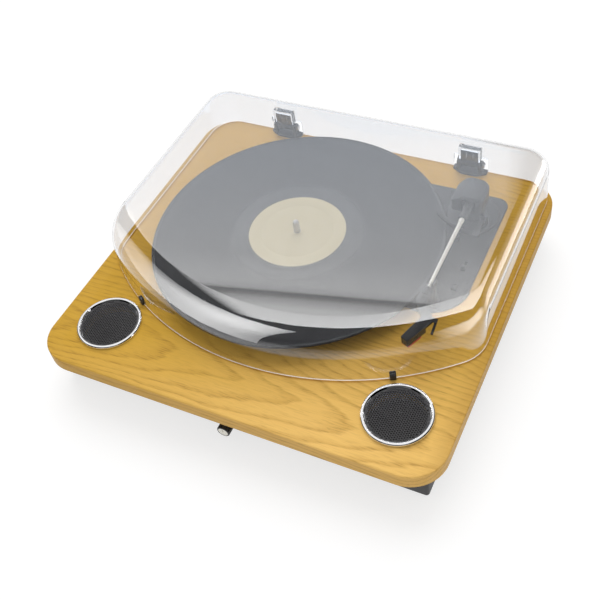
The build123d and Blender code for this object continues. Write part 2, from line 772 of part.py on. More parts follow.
def belt_loop(offset_out):
    """Outline of a belt round the drive ring and the pulley, with straight runs between them."""
    big = DRIVE_RING_R + offset_out
    small = PULLEY_R + offset_out
    lean = math.acos((big - small) / MOTOR_PCR)
    touch = [(math.cos(s * lean), math.sin(s * lean)) for s in (1, -1)]
    runs = Polygon(
        (big * touch[0][0], big * touch[0][1]), (big * touch[1][0], big * touch[1][1]),
        (MOTOR_PCR + small * touch[1][0], small * touch[1][1]),
        (MOTOR_PCR + small * touch[0][0], small * touch[0][1]), align=None,
    )
    return Circle(big) + Pos(MOTOR_PCR, 0) * Circle(small) + runs


def drive_belt():
    loop = belt_loop(GAP + BELT_T) - belt_loop(GAP)
    return Pos(SPIN_X, SPIN_Y) * Rot(0, 0, MOTOR_ANGLE) * prism(loop, BELT_Z, BELT_Z + BELT_W)


# Tone arm
def arm_base():
    """Round pedestal with the arm's bearing in the middle and the cue lever's two ears."""
    place = Pos(ARM_X, ARM_Y)
    base = rod(BASE_R, PLATE_Z, BASE_TOP)
    base = chamfer(base.edges().group_by(Axis.Z)[-1], BASE_EDGE)
    base += rod(BASE_BOSS_R, PLATE_Z - BASE_BOSS_L, PLATE_Z)
    base -= rod(TURRET_SHAFT_R + RUN, PLATE_Z - BASE_BOSS_L, BASE_TOP)
    pin_z = BASE_TOP + LEVER_H
    inner = LEVER_W / 2 + GAP
    for side in (-1, 1):
        span = sorted((LEVER_X + side * inner, LEVER_X + side * (inner + LEVER_EAR_T)))
        ear = facing_right(span[0], LEVER_Y, pin_z) * rod(LEVER_EYE_R, 0, LEVER_EAR_T)
        ear += block(span, centred(LEVER_Y, 2 * LEVER_EYE_R), (PLATE_Z, pin_z))
        base += ear
    reach = inner + LEVER_EAR_T
    base += facing_right(LEVER_X - reach, LEVER_Y, pin_z) * rod(LEVER_PIN_R, 0, 2 * reach)
    return place * base


def arm_turret():
    """Turning hood over the arm's pivot, on a round foot and shaft."""
    low = ARM_Z - HOOD_DROP
    top = ARM_Z + HOOD_RISE
    width = HOOD_LEFT + HOOD_RIGHT
    depth = HOOD_FRONT + HOOD_BACK
    middle = Pos((HOOD_RIGHT - HOOD_LEFT) / 2, (HOOD_BACK - HOOD_FRONT) / 2)
    plan = middle * Rectangle(width, depth)
    plan = fillet(plan.vertices().group_by(Axis.Y)[-1], HOOD_BACK_R)
    plan = fillet(plan.vertices().group_by(Axis.Y)[0], HOOD_FRONT_R)
    hood = prism(plan, low, top)
    crown = hood.edges().group_by(Axis.Z)[-1]
    hood = chamfer(crown, HOOD_CROWN)
    facet = Polygon(
        (-HOOD_LEFT, top), (-HOOD_LEFT, top - HOOD_FACET_DROP), (HOOD_FACET_W - HOOD_LEFT, top),
        align=None,
    )
    hood -= Pos(0, HOOD_BACK, 0) * extrude(Plane.XZ * facet, depth, dir=(0, -1, 0))
    slot_back = KNUCKLE_R + COLLAR_TAIL
    hood -= block(centred(0, HOOD_SLOT), (-HOOD_FRONT, slot_back), (low, top - HOOD_ROOF))
    hood += rod(TURRET_R, BASE_TOP + GAP, low)
    hood += rod(TURRET_SHAFT_R, PLATE_Z - TURRET_SHAFT_L + BASE_H, BASE_TOP + GAP)
    pin_l = width - 2 * HOOD_FRONT_R
    pin = facing_right(HOOD_RIGHT - HOOD_FRONT_R - pin_l, 0, ARM_Z) * rod(PIVOT_PIN_R + RUN, 0, pin_l)
    return Pos(ARM_X, ARM_Y) * (hood - pin)


def arm_pivot_pin():
    length = HOOD_LEFT + HOOD_RIGHT - 2 * HOOD_FRONT_R
    start = ARM_X + HOOD_RIGHT - HOOD_FRONT_R - length
    return facing_right(start, ARM_Y, ARM_Z) * rod(PIVOT_PIN_R, 0, length)


def arm_tube():
    length = COLLAR_FRONT_Y - TUBE_FRONT_Y
    return facing_front(ARM_X, COLLAR_FRONT_Y, ARM_Z) * tube(TUBE_R, TUBE_R - TUBE_WALL, 0, length)


def arm_collar():
    """Moulded socket that holds the tube and turns on the pivot pin, with a short balance tail."""
    reach = ARM_Y - COLLAR_FRONT_Y
    sleeve = turned(
        (0, 0), (COLLAR_R, 0), (COLLAR_R, reach - COLLAR_EDGE), (COLLAR_R - COLLAR_EDGE, reach), (0, reach),
    )
    collar = facing_front(ARM_X, ARM_Y, ARM_Z) * sleeve
    knuckle_w = HOOD_SLOT - 2 * GAP
    collar += facing_right(ARM_X - knuckle_w / 2, ARM_Y, ARM_Z) * rod(KNUCKLE_R, 0, knuckle_w)
    collar += facing_back(ARM_X, ARM_Y, ARM_Z) * rod(COLLAR_R, 0, COLLAR_TAIL)
    collar -= facing_right(ARM_X - knuckle_w / 2, ARM_Y, ARM_Z) * rod(PIVOT_PIN_R + RUN, 0, knuckle_w)
    return collar


def shell_place(z):
    """Frame of the headshell: local -Y runs forwards along the angled shell."""
    return Pos(ARM_X + NECK_OUT, SHELL_Y, z) * Rot(0, 0, -SHELL_ANGLE)


def shell_strip(front, back, inset=0.0):
    """Stretch of the tapered shell between two places on its length, inset from its sides."""
    slope = (SHELL_W - SHELL_NOSE_W) / 2 / SHELL_L
    half_front = SHELL_W / 2 + slope * front - inset
    half_back = SHELL_W / 2 + slope * back - inset
    return Polygon(
        (-half_back, back), (half_back, back), (half_front, front), (-half_front, front), align=None,
    )


def shell_top():
    return ARM_Z + NECK_T / 2 - GAP


def headshell():
    """Tapered angled plate on a neck that steps outwards from the tube, with a drooping finger lift."""
    top = shell_top()
    turn = math.radians(SHELL_ANGLE)
    root = (ARM_X + NECK_OUT, SHELL_Y)
    path = FilletPolyline(
        (ARM_X, TUBE_FRONT_Y), (ARM_X, NECK_BEND_Y), root,
        (root[0] - SHELL_W / 2 * math.sin(turn), root[1] - SHELL_W / 2 * math.cos(turn)), radius=NECK_BEND_R,
    )
    neck = prism(trace(path, NECK_W), top - NECK_T, top)
    sleeve = facing_front(ARM_X, TUBE_FRONT_Y, ARM_Z) * rod(NECK_SLEEVE_R, 0, NECK_W)
    plan = shell_strip(-SHELL_L, 0)
    plan = fillet(plan.vertices().group_by(Axis.Y)[0], SHELL_NOSE_R)
    plate = prism(plan, 0, SHELL_T)
    plate = fillet(plate.edges().group_by(Axis.Z)[-1], SHELL_EDGE_R)
    lift_x = root[0] + SHELL_W / 2 + LIFT_REACH
    lift_top = top - SHELL_EDGE_R
    lift_back = SHELL_Y + LIFT_W
    tip_y = SHELL_Y - LIFT_L
    droop = Polygon(
        (lift_back, lift_top), (lift_back, lift_top - LIFT_T), (tip_y, lift_top - LIFT_T - LIFT_DROP),
        (tip_y, lift_top - LIFT_DROP), align=None,
    )
    lift = Pos(lift_x, 0, 0) * extrude(Plane.YZ * droop, LIFT_W, dir=(1, 0, 0))
    lift += block((root[0], lift_x + LIFT_W), (SHELL_Y - LIFT_W, lift_back), (lift_top - LIFT_T, lift_top))
    return neck + sleeve + shell_place(top - SHELL_T) * plate + lift


def cartridge():
    """Pick-up body that hangs under the front of the shell."""
    top = shell_top() - SHELL_T
    front = -SHELL_L + CARTRIDGE_SETBACK
    plan = shell_strip(front, front + CARTRIDGE_L, CARTRIDGE_INSET)
    return shell_place(0) * prism(plan, top - CARTRIDGE_H, top)


def stylus():
    """Stylus holder clipped under the cartridge, with a blunt nose and the tip."""
    top = shell_top() - SHELL_T - CARTRIDGE_H
    low = top - STYLUS_T
    front = -SHELL_L + CARTRIDGE_SETBACK
    tip_z = RECORD_TOP + TIP_CLEAR
    holder = prism(shell_strip(front, front + STYLUS_L, CARTRIDGE_INSET), low, top)
    holder = chamfer(holder.edges().group_by(Axis.Z)[0].sort_by(Axis.Y)[0], STYLUS_NOSE)
    needle = Pos(0, front + TIP_BACK, tip_z) * Cone(TIP_R / 2, 2 * TIP_R, low - tip_z, align=BOTTOM)
    return shell_place(0) * (holder + needle)


# Arm rest, lifter, cue lever and switches
def arm_rest():
    """Post under the tube with a raised ear on its outer side; the inner side is open."""
    floor = ARM_Z - TUBE_R - GAP
    ear_x = ARM_X + TUBE_R + GAP
    left = ear_x + REST_EAR_T - REST_W - REST_EAR_T
    span = centred(REST_Y, REST_D)
    post = block((left, ear_x + REST_EAR_T), span, (PLATE_Z, floor))
    post += block((ear_x, ear_x + REST_EAR_T), span, (floor, floor + REST_EAR_H))
    foot_x = (left - REST_FOOT, ear_x + REST_EAR_T + REST_FOOT)
    foot_y = (span[0] - REST_FOOT, span[1] + REST_FOOT)
    return post + block(foot_x, foot_y, (PLATE_Z, PLATE_Z + REST_FOOT_H))


def arm_lifter():
    """Curved bar under the arm's sweep on a stem that slides in the deck plate."""
    top = ARM_Z - TUBE_R - LOOSE
    bar = Pos(ARM_X, ARM_Y) * (Circle(LIFTER_R + LIFTER_W / 2) - Circle(LIFTER_R - LIFTER_W / 2))
    wide = 2 * LIFTER_R
    ends = [lifter_point(angle, wide) for angle in (LIFTER_START_ANGLE, LIFTER_END_ANGLE)]
    wedge = Polygon((ARM_X, ARM_Y), *ends, align=None)
    stem_x, stem_y = lifter_point(LIFTER_STEM_ANGLE)
    stem = Pos(stem_x, stem_y) * rod(LIFTER_STEM_R, top - LIFTER_STEM_L, top)
    return prism(bar & wedge, top - LIFTER_T, top) + stem


def cue_lever():
    """Finger lever on the pedestal's ears, its pad towards the front."""
    place = Pos(ARM_X + LEVER_X, ARM_Y + LEVER_Y, BASE_TOP + LEVER_H)
    eye_x = -LEVER_W / 2
    lever = facing_right(eye_x, 0, 0) * rod(LEVER_EYE_R, 0, LEVER_W)
    lever += block(centred(0, LEVER_W), (-LEVER_L, 0), centred(0, LEVER_T))
    pad = block(centred(0, LEVER_PAD_W), centred(-LEVER_L, LEVER_PAD_L), (0, LEVER_T))
    pad = fillet(pad.edges().filter_by(Axis.Z), LEVER_T / 2)
    lever += pad
    lever -= facing_right(eye_x, 0, 0) * rod(LEVER_PIN_R + RUN, 0, LEVER_W)
    return place * lever


def slide_switch(y):
    """Thumb piece on the deck plate with a stem down through its slot."""
    cap = block(centred(SWITCH_X, SWITCH_W), centred(y, SWITCH_L), (PLATE_Z + GAP, PLATE_Z + SWITCH_H))
    cap = chamfer(cap.edges().group_by(Axis.Z)[-1], SWITCH_EDGE)
    stem_low = PLATE_Z - SWITCH_STEM_DROP
    stem_z = (stem_low, PLATE_Z + GAP)
    return cap + block(centred(SWITCH_X, SWITCH_STEM_W), centred(y, SWITCH_STEM_L), stem_z)


# Volume control
def volume_knob():
    place = facing_front(KNOB_X, TRAY_FRONT_Y - LOOSE, KNOB_Z)
    knob = rod(KNOB_R, 0, KNOB_L)
    knob = chamfer(knob.edges().group_by(Axis.Z)[-1], KNOB_CAP_INSET)
    for x, y in around(KNOB_FLUTES, KNOB_R):
        knob -= Pos(x, y) * rod(KNOB_FLUTE_R, KNOB_COLLAR_L, KNOB_L)
    knob -= rod(POT_SHAFT_R + FIT, 0, POT_SHAFT_L + FIT)
    knob -= rod(KNOB_R - 2 * KNOB_CAP_INSET, KNOB_L - KNOB_CAP_T, KNOB_L)
    return place * knob


def knob_cap():
    radius = KNOB_R - 2 * KNOB_CAP_INSET - FIT
    cap = rod(radius, KNOB_L - KNOB_CAP_T, KNOB_L)
    depth = (KNOB_L - KNOB_POINTER_DEPTH, KNOB_L)
    cap -= block(centred(0, KNOB_POINTER_W), (0, radius), depth)
    return facing_front(KNOB_X, TRAY_FRONT_Y - LOOSE, KNOB_Z) * cap


def volume_pot():
    """Control body behind the tray's front wall, with its nose in the wall and its shaft in the knob."""
    inside = TRAY_FRONT_Y + TRAY_WALL
    pot = block(centred(KNOB_X, POT_W), (inside, inside + POT_T), centred(KNOB_Z, POT_W))
    pot += facing_front(KNOB_X, inside, KNOB_Z) * rod(POT_BUSHING_R, 0, TRAY_WALL)
    pot += facing_front(KNOB_X, inside, KNOB_Z) * rod(POT_SHAFT_R, 0, TRAY_WALL + LOOSE + POT_SHAFT_L)
    return pot


# Circuit board and rear sockets
def circuit_board():
    back = TRAY_BACK_Y - TRAY_WALL - BOARD_SETBACK
    board = block(centred(BOARD_X, BOARD_W), (back - BOARD_D, back), (BOARD_Z, BOARD_Z + BOARD_T))
    chip_y = back - CHIP_SETBACK
    board += block(centred(BOARD_X, CHIP_W), centred(chip_y, CHIP_D), (BOARD_Z, SOCKET_Z))
    for x in (-CAPACITOR_X, CAPACITOR_X):
        board += Pos(BOARD_X + x, chip_y) * rod(STANDOFF_R, BOARD_Z, SOCKET_Z + SOCKET_H)
    return board


def socket_body(x, width):
    """Moulded block that stands on the board and meets the tray's rear wall."""
    inner = TRAY_BACK_Y - TRAY_WALL
    low = BOARD_Z + BOARD_T
    return block(centred(x, width), (inner - 2 * BOARD_SETBACK, inner), (low, low + SOCKET_BODY_H))


def rca_jack(x):
    out = TRAY_WALL + RCA_L
    shell = tube(RCA_R, RCA_R - RCA_WALL, 0, out) + rod(RCA_R - RCA_WALL, 0, TRAY_WALL)
    core = tube(RCA_CORE_R - RCA_WALL, RCA_PIN_BORE_R, TRAY_WALL, out - RCA_WALL)
    nut = Pos(0, 0, TRAY_WALL) * extrude(RegularPolygon(SOCKET_NUT_R, 6) - Circle(RCA_R), SOCKET_NUT_T)
    place = facing_back(x, TRAY_BACK_Y - TRAY_WALL, SOCKET_Z)
    return socket_body(x, RCA_BODY_W) + place * (shell + core + nut)


def aux_jack():
    place = facing_back(AUX_X, TRAY_BACK_Y - TRAY_WALL, SOCKET_Z)
    out = TRAY_WALL + AUX_L
    body = socket_body(AUX_X, AUX_BODY_W) + place * rod(AUX_R, 0, out)
    nut = extrude(RegularPolygon(SOCKET_NUT_R, 6), SOCKET_NUT_T)
    body += place * Pos(0, 0, TRAY_WALL) * nut
    return body - place * rod(AUX_BORE_R, out - AUX_DEPTH, out)


def power_inlet():
    place = facing_back(POWER_X, TRAY_BACK_Y - TRAY_WALL, SOCKET_Z)
    out = TRAY_WALL + POWER_L
    body = socket_body(POWER_X, POWER_BODY_W) + place * rod(POWER_R, 0, out)
    body -= place * rod(POWER_BORE_R, out - POWER_DEPTH, out)
    return body + place * rod(POWER_PIN_R, out - POWER_DEPTH, out - POWER_L / 2)


# Cover hinges
def hinge_base(side):
    """Foot on the deck's back edge with two ears that carry the hinge pin."""
    x = side * HINGE_X
    back = PLINTH_D / 2
    front = back - HINGE_FOOT_D
    wide = HINGE_FOOT_W / 2
    nose = HINGE_FOOT_NOSE_W / 2
    shoulder = back - HINGE_FOOT_D / 2
    plan = Polygon(
        (x - wide, back), (x - wide, shoulder), (x - nose, front), (x + nose, front), (x + wide, shoulder),
        (x + wide, back), align=None,
    )
    base = prism(plan, DECK_Z, DECK_Z + HINGE_FOOT_T)
    base = chamfer(base.edges().group_by(Axis.Z)[-1], HINGE_FOOT_EDGE)
    inner = TONGUE_W / 2 + GAP
    bore = facing_right(x - wide, HINGE_Y, HINGE_Z) * rod(HINGE_PIN_R + FIT / 2, 0, HINGE_FOOT_W)
    for ear_side in (-1, 1):
        span = sorted((x + ear_side * inner, x + ear_side * (inner + HINGE_EAR_T)))
        ear = facing_right(span[0], HINGE_Y, HINGE_Z) * rod(HINGE_EAR_R, 0, HINGE_EAR_T)
        ear += block(span, centred(HINGE_Y, 2 * HINGE_EAR_R), (DECK_Z, HINGE_Z))
        base += ear
    return base - bore


def hinge_pin(side):
    x = side * HINGE_X
    half = TONGUE_W / 2 + GAP + HINGE_EAR_T
    pin = rod(HINGE_PIN_R, 0, 2 * half) + rod(HINGE_HEAD_R, 2 * half, 2 * half + HINGE_HEAD_L)
    return facing_right(x - half, HINGE_Y, HINGE_Z) * pin


def tongue_spans():
    return (HINGE_Y + TONGUE_BACK - TONGUE_T, HINGE_Y + TONGUE_BACK)


def hinge_tongue(side):
    """Leaf that plugs up into the cover, with an eye on the pin and a springy catch tab."""
    x = side * HINGE_X
    width = TONGUE_W - GAP
    eye = facing_right(x - width / 2, HINGE_Y, HINGE_Z)
    tongue = eye * rod(TONGUE_EYE_R, 0, width)
    leaf = block(centred(x, width), tongue_spans(), (HINGE_Z, HINGE_Z + TONGUE_H))
    leaf = chamfer(leaf.edges().filter_by(Axis.Y).group_by(Axis.Z)[-1], TONGUE_SLOT)
    tongue += leaf
    tab_low = HINGE_Z + TONGUE_TAB_Z
    tab_top = tab_low + TONGUE_TAB_H
    for cut_side in (-1, 1):
        cut_x = x + cut_side * (TONGUE_TAB_W + TONGUE_SLOT) / 2
        tongue -= block(centred(cut_x, TONGUE_SLOT), tongue_spans(), (tab_low, tab_top))
    across = centred(x, TONGUE_TAB_W + 2 * TONGUE_SLOT)
    tongue -= block(across, tongue_spans(), (tab_top, tab_top + TONGUE_SLOT))
    return tongue - eye * rod(HINGE_PIN_R + RUN, 0, width)


# Dust cover
def wall_inset(height, full, roll_r):
    """How far a wall has come inwards at a height, by its draft and by the roll at its top."""
    into_roll = max(height - full + roll_r, 0.0)
    draft = height * math.tan(math.radians(COVER_DRAFT_ANGLE))
    return draft + roll_r - math.sqrt(roll_r ** 2 - into_roll ** 2)


def cover_section(height, thickness):
    """Cover's outline at a height over its rim: straight sides and back, and a bowed front."""
    full = COVER_H - thickness
    side = thickness + wall_inset(height, full, COVER_SIDE_ROLL_R - thickness)
    front = thickness + wall_inset(height, full, COVER_FRONT_ROLL_R - thickness)
    half = COVER_W / 2 - side
    back = PLINTH_D / 2 - side
    bow_y = COVER_FRONT_Y + COVER_ARC_R
    bow_r = COVER_ARC_R - front
    front_y = bow_y - bow_r
    sheet = Pos(0, (back + front_y) / 2) * Rectangle(2 * half, back - front_y)
    outline = sheet & Pos(0, bow_y) * Circle(bow_r)
    outline = fillet(outline.vertices().group_by(Axis.Y)[-1], COVER_BACK_R - side)
    corner_y = bow_y - math.sqrt(bow_r ** 2 - half ** 2)
    for end in SIDES.values():
        corner = outline.vertices().sort_by_distance((end * half, corner_y, 0))[0]
        outline = fillet(corner, COVER_FRONT_R - side)
    return Pos(0, 0, COVER_Z + height) * outline


def cover_form(thickness):
    """Block inside the cover's outer face by a thickness: drafted walls and a wide roll at the front."""
    full = COVER_H - thickness
    roll_r = COVER_FRONT_ROLL_R - thickness
    turns = [math.radians(90.0 * i / COVER_LEVELS) for i in range(COVER_LEVELS + 1)]
    straight = full - roll_r
    wall = loft([cover_section(height, thickness) for height in (0.0, straight)], ruled=True)
    return wall + loft([cover_section(straight + roll_r * math.sin(turn), thickness) for turn in turns])


def dust_cover():
    """Clear moulded cover with a pocket for each hinge tongue and a notch round each hinge."""
    outside = cover_form(0.0)
    cover = outside - cover_form(COVER_WALL)
    leaf_front, leaf_back = tongue_spans()
    pocket_low = HINGE_Z + POCKET_DROP
    pocket_top = HINGE_Z + TONGUE_H + POCKET_HEAD
    leaf_w = TONGUE_W + 2 * FIT
    back = PLINTH_D / 2
    for side in SIDES.values():
        x = side * HINGE_X
        frame_x = centred(x, leaf_w + 2 * POCKET_WALL)
        frame = block(frame_x, (leaf_front - FIT - POCKET_WALL, back), (pocket_low, pocket_top))
        cover += frame & outside
        leaf_y = (leaf_front - FIT, leaf_back + FIT)
        cover -= block(centred(x, leaf_w), leaf_y, (pocket_low, HINGE_Z + TONGUE_H + FIT))
        notch_x = centred(x, HINGE_FOOT_W + 2 * LOOSE)
        cover -= block(notch_x, (HINGE_Y - HINGE_FOOT_D, back), (COVER_Z, pocket_low))
    return cover


def cover_bumpers(cover):
    """Rubber clips pressed over the front rim, which meet the deck."""
    arc_y = COVER_FRONT_Y + COVER_ARC_R
    lean = math.asin(BUMPER_X / COVER_ARC_R)
    rim_y = arc_y - COVER_ARC_R * math.cos(lean)
    clips = []
    for side in SIDES.values():
        low = DECK_Z + GAP
        clip = block(centred(0, BUMPER_W), (-BUMPER_T / 2, BUMPER_T / 2), (low, low + BUMPER_H))
        clip = fillet(clip.edges().filter_by(Axis.Z), BUMPER_EDGE_R)
        place = Pos(side * BUMPER_X, rim_y) * Rot(0, 0, side * math.degrees(lean)) * Pos(0, COVER_WALL / 2)
        clips.append(place * clip - cover)
    return Compound(children=clips)


# Every piece by its node name
def build_nodes():
    cover = dust_cover()
    nodes = {
        "plinth": plinth(),
        "base_tray": base_tray(),
        "tray_screws": tray_screws(),
        "speaker_screws": speaker_screws(),
        "deck_plate": deck_plate(),
        "bearing_bush": bearing_bush(),
        "spindle": spindle(),
        "platter": platter(),
        "platter_mat": platter_mat(),
        "record": record(),
        "record_label": record_label(),
        "drive_motor": drive_motor(),
        "motor_grommets": motor_grommets(),
        "motor_pulley": motor_pulley(),
        "drive_belt": drive_belt(),
        "arm_base": arm_base(),
        "arm_turret": arm_turret(),
        "arm_pivot_pin": arm_pivot_pin(),
        "arm_tube": arm_tube(),
        "arm_collar": arm_collar(),
        "headshell": headshell(),
        "cartridge": cartridge(),
        "stylus": stylus(),
        "arm_rest": arm_rest(),
        "arm_lifter": arm_lifter(),
        "cue_lever": cue_lever(),
        "speed_switch": slide_switch(SPEED_Y),
        "auto_stop_switch": slide_switch(STOP_Y),
        "volume_knob": volume_knob(),
        "knob_cap": knob_cap(),
        "volume_pot": volume_pot(),
        "circuit_board": circuit_board(),
        "rca_jack_left": rca_jack(RCA_X[0]),
        "rca_jack_right": rca_jack(RCA_X[1]),
        "aux_jack": aux_jack(),
        "power_inlet": power_inlet(),
        "dust_cover": cover,
        "cover_bumpers": cover_bumpers(cover),
    }
    speaker_pieces = {
        "speaker_ring": speaker_ring(),
        "speaker_grille": speaker_grille(),
        "speaker_basket": speaker_basket(),
        "speaker_cone": speaker_cone(),
        "speaker_magnet": speaker_magnet(),
    }
    for side_name, side in SIDES.items():
        for piece_name, piece in speaker_pieces.items():
            nodes[f"{piece_name}_{side_name}"] = speaker_place(side) * piece
        nodes[f"hinge_base_{side_name}"] = hinge_base(side)
        nodes[f"hinge_pin_{side_name}"] = hinge_pin(side)
        nodes[f"hinge_tongue_{side_name}"] = hinge_tongue(side)
        for end_name, end in ENDS.items():
            nodes[f"foot_{end_name}_{side_name}"] = foot_place(side, end) * foot()
    return nodes


os.makedirs("parts", exist_ok=True)
for node_name, solid in build_nodes().items():
    export_step(solid, f"parts/{node_name}.step")
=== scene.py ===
import json
import math

import bpy
from mathutils import Matrix, Quaternion, Vector

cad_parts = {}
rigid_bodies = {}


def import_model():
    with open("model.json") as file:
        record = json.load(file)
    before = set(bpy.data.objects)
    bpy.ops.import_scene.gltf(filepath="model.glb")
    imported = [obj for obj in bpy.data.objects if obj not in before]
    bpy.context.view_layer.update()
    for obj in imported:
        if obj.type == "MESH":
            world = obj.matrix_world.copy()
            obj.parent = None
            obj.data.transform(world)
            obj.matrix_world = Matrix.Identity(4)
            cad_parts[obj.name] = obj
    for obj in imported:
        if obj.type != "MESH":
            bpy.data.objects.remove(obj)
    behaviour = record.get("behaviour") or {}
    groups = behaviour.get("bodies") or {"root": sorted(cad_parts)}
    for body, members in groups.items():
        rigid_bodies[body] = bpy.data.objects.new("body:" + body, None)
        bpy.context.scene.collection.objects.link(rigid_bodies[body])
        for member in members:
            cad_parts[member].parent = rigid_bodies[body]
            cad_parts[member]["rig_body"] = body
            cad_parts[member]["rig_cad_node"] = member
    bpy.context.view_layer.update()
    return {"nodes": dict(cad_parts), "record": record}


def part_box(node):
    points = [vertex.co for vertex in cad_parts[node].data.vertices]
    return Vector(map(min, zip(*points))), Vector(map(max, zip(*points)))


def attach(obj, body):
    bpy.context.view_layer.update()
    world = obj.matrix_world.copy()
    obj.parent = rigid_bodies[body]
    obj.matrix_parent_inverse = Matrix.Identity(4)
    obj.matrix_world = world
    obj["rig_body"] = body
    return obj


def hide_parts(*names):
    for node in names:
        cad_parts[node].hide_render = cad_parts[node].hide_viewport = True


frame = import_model()
MM = 0.001


def corners(node):
    """Lowest and highest corners of a CAD node, in millimetres."""
    return [[round(value / MM, 2) for value in corner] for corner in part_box(node)]


def middle(node):
    """Middle of a CAD node's box, in millimetres."""
    return [round((low + high) / 2, 2) for low, high in zip(*corners(node))]


# Places on the player, in millimetres
DECK_Z = corners("plinth")[1][2]
SPIN = middle("spindle")[:2]
SPINDLE_HOLE_R = 3.62
SPEAKERS = {side: middle("speaker_ring_" + side)[:2] for side in ("left", "right")}

# Record and label
record_low, record_high = corners("record")
RECORD_R = record_high[0] - SPIN[0]
RECORD_LOW = record_low[2]
RECORD_FACE = record_high[2]
GROOVE_Z = RECORD_FACE - 0.25
GROOVE_OUTER_R = RECORD_R - 3.6
TRACK_GAPS = (133.0, 118.5, 103.0, 86.5)
TRACK_STEP = 0.02
RUN_OUT_R = 68.5
label_high = corners("record_label")[1]
LABEL_R = label_high[0] - SPIN[0]
LABEL_TOP = label_high[2]
LABEL_RING_R = 36.8
LABEL_RING_DEPTH = 0.06

# Arm tube
arm_low, arm_high = corners("arm_tube")
ARM_X = middle("arm_tube")[0]
ARM_Z = middle("arm_tube")[2]
ARM_BACK_Y = arm_high[1]
ARM_NOSE_Y = arm_low[1]

# Speaker trim and grille
TRIM_R = 32.7
TRIM_INNER_R = 28.5
TRIM_SEAT_R = 26.5
TRIM_SPIGOT = 5.0
TRIM_SKIRT = 0.7
TRIM_CROWN_Z = 0.9
TRIM_CROWN_H = 2.3
TRIM_LIP_Z = 1.4
TRIM_TUCK = 0.95
GRILLE_R = 28.3
GRILLE_MESH_R = 27.6
GRILLE_RIM = 1.5
GRILLE_TOP = 0.9
GRILLE_T = 0.8
GRILLE_PITCH = 2.35
GRILLE_WEB = 0.36
GRILLE_CELLS = 27

# Clear cover and its hinge pockets
cover_low, cover_high = corners("dust_cover")
COVER_RIM_Z = cover_low[2]
COVER_TOP = cover_high[2]
COVER_HALF_W = cover_high[0]
COVER_BACK_Y = cover_high[1]
COVER_BACK_R = 30.0
COVER_FRONT_R = 38.0
COVER_BOW_R = 278.0
COVER_BOW_Y = 144.0
COVER_WALL = 2.2
COVER_SIDE_ROLL = 14.0
COVER_FRONT_ROLL = 30.0
COVER_ROLL_STEPS = 18
COVER_CORNER_STEPS = 14
COVER_BOW_STEPS = 80
COVER_DRAFT = math.radians(2.0)
HINGE_X = middle("hinge_tongue_right")[0]
HINGE_Z = middle("hinge_pin_right")[2]
POCKET_HALF_W = 11.8
POCKET_Y = (180.2, 187.3)
POCKET_TOP = HINGE_Z + 22.0
LEAF_HALF_W = 9.6
LEAF_Y = (182.4, 185.6)
LEAF_TOP = HINGE_Z + 18.1
NOTCH_HALF_W = 19.0
NOTCH_Y = (173.0, 195.0)
NOTCH_LOW = COVER_RIM_Z - 5.0
NOTCH_TOP = HINGE_Z + 6.5


# Working in edit mode as by hand
def set_down(piece=None):
    """Leaves edit mode with nothing selected, or with one piece selected and active."""
    if bpy.context.object and bpy.context.object.mode != "OBJECT":
        bpy.ops.object.mode_set(mode="OBJECT")
    bpy.ops.object.select_all(action="DESELECT")
    if piece is not None:
        piece.select_set(True)
        bpy.context.view_layer.objects.active = piece
    return piece


def open_mesh(piece):
    """Enters edit mode on one piece with all its points selected."""
    set_down(piece)
    bpy.ops.object.mode_set(mode="EDIT")
    bpy.ops.mesh.select_mode(type="VERT")
    bpy.ops.mesh.select_all(action="SELECT")


def metres(point):
    return tuple(value * MM for value in point)


def start_point(name, point):
    """One loose vertex in edit mode, from which a line is drawn."""
    set_down()
    bpy.ops.mesh.primitive_plane_add(size=MM)
    piece = bpy.context.object
    piece.name = name
    piece.data.name = name
    open_mesh(piece)
    bpy.ops.mesh.merge(type="CENTER")
    bpy.ops.transform.translate(value=metres(point))
    return piece


def draw_to(here, there):
    """Draws a straight line on from the last point."""
    step = tuple(b - a for a, b in zip(here, there))
    bpy.ops.mesh.extrude_region_move(TRANSFORM_OT_translate={"value": metres(step)})
    return there


def draw_arc(here, centre, degrees, steps):
    """Swings the drawn point clockwise about an upright axis."""
    bpy.ops.mesh.spin(steps=steps, angle=math.radians(degrees), center=metres(centre), axis=(0, 0, 1))
    turn = math.radians(-degrees)
    dx, dy = here[0] - centre[0], here[1] - centre[1]
    x = centre[0] + dx * math.cos(turn) - dy * math.sin(turn)
    y = centre[1] + dx * math.sin(turn) + dy * math.cos(turn)
    return (x, y, here[2])


def clean(piece):
    """Merges doubled points and turns all faces outwards."""
    open_mesh(piece)
    bpy.ops.mesh.remove_doubles(threshold=0.002 * MM)
    bpy.ops.mesh.select_all(action="SELECT")
    bpy.ops.mesh.normals_make_consistent(inside=False)
    return set_down(piece)


def smooth(piece, degrees=32):
    """Shades smooth across all edges flatter than an angle."""
    set_down(piece)
    bpy.ops.object.shade_smooth_by_angle(angle=math.radians(degrees))
    return piece


def apply_modifier(piece, kind, **settings):
    """Adds a modifier with its settings and makes its result the piece's mesh."""
    set_down(piece)
    modifier = piece.modifiers.new(kind, kind)
    for key, value in settings.items():
        setattr(modifier, key, value)
    bpy.ops.object.modifier_apply(modifier=modifier.name)
    return piece


def turned(name, points, centre, axis, steps):
    """Closed form spun about an axis from a line of points beside it."""
    here = points[0]
    piece = start_point(name, here)
    for there in points[1:]:
        here = draw_to(here, there)
    bpy.ops.mesh.select_all(action="SELECT")
    bpy.ops.mesh.spin(steps=steps, angle=math.tau, center=metres(centre), axis=axis)
    return smooth(clean(piece))


def lathe(name, profile, place, steps):
    """Ring or disc about an upright axis, from (radius, height) points."""
    x, y = place
    points = [(x + radius, y, height) for radius, height in profile]
    return turned(name, points, (x, y, 0), (0, 0, 1), steps)


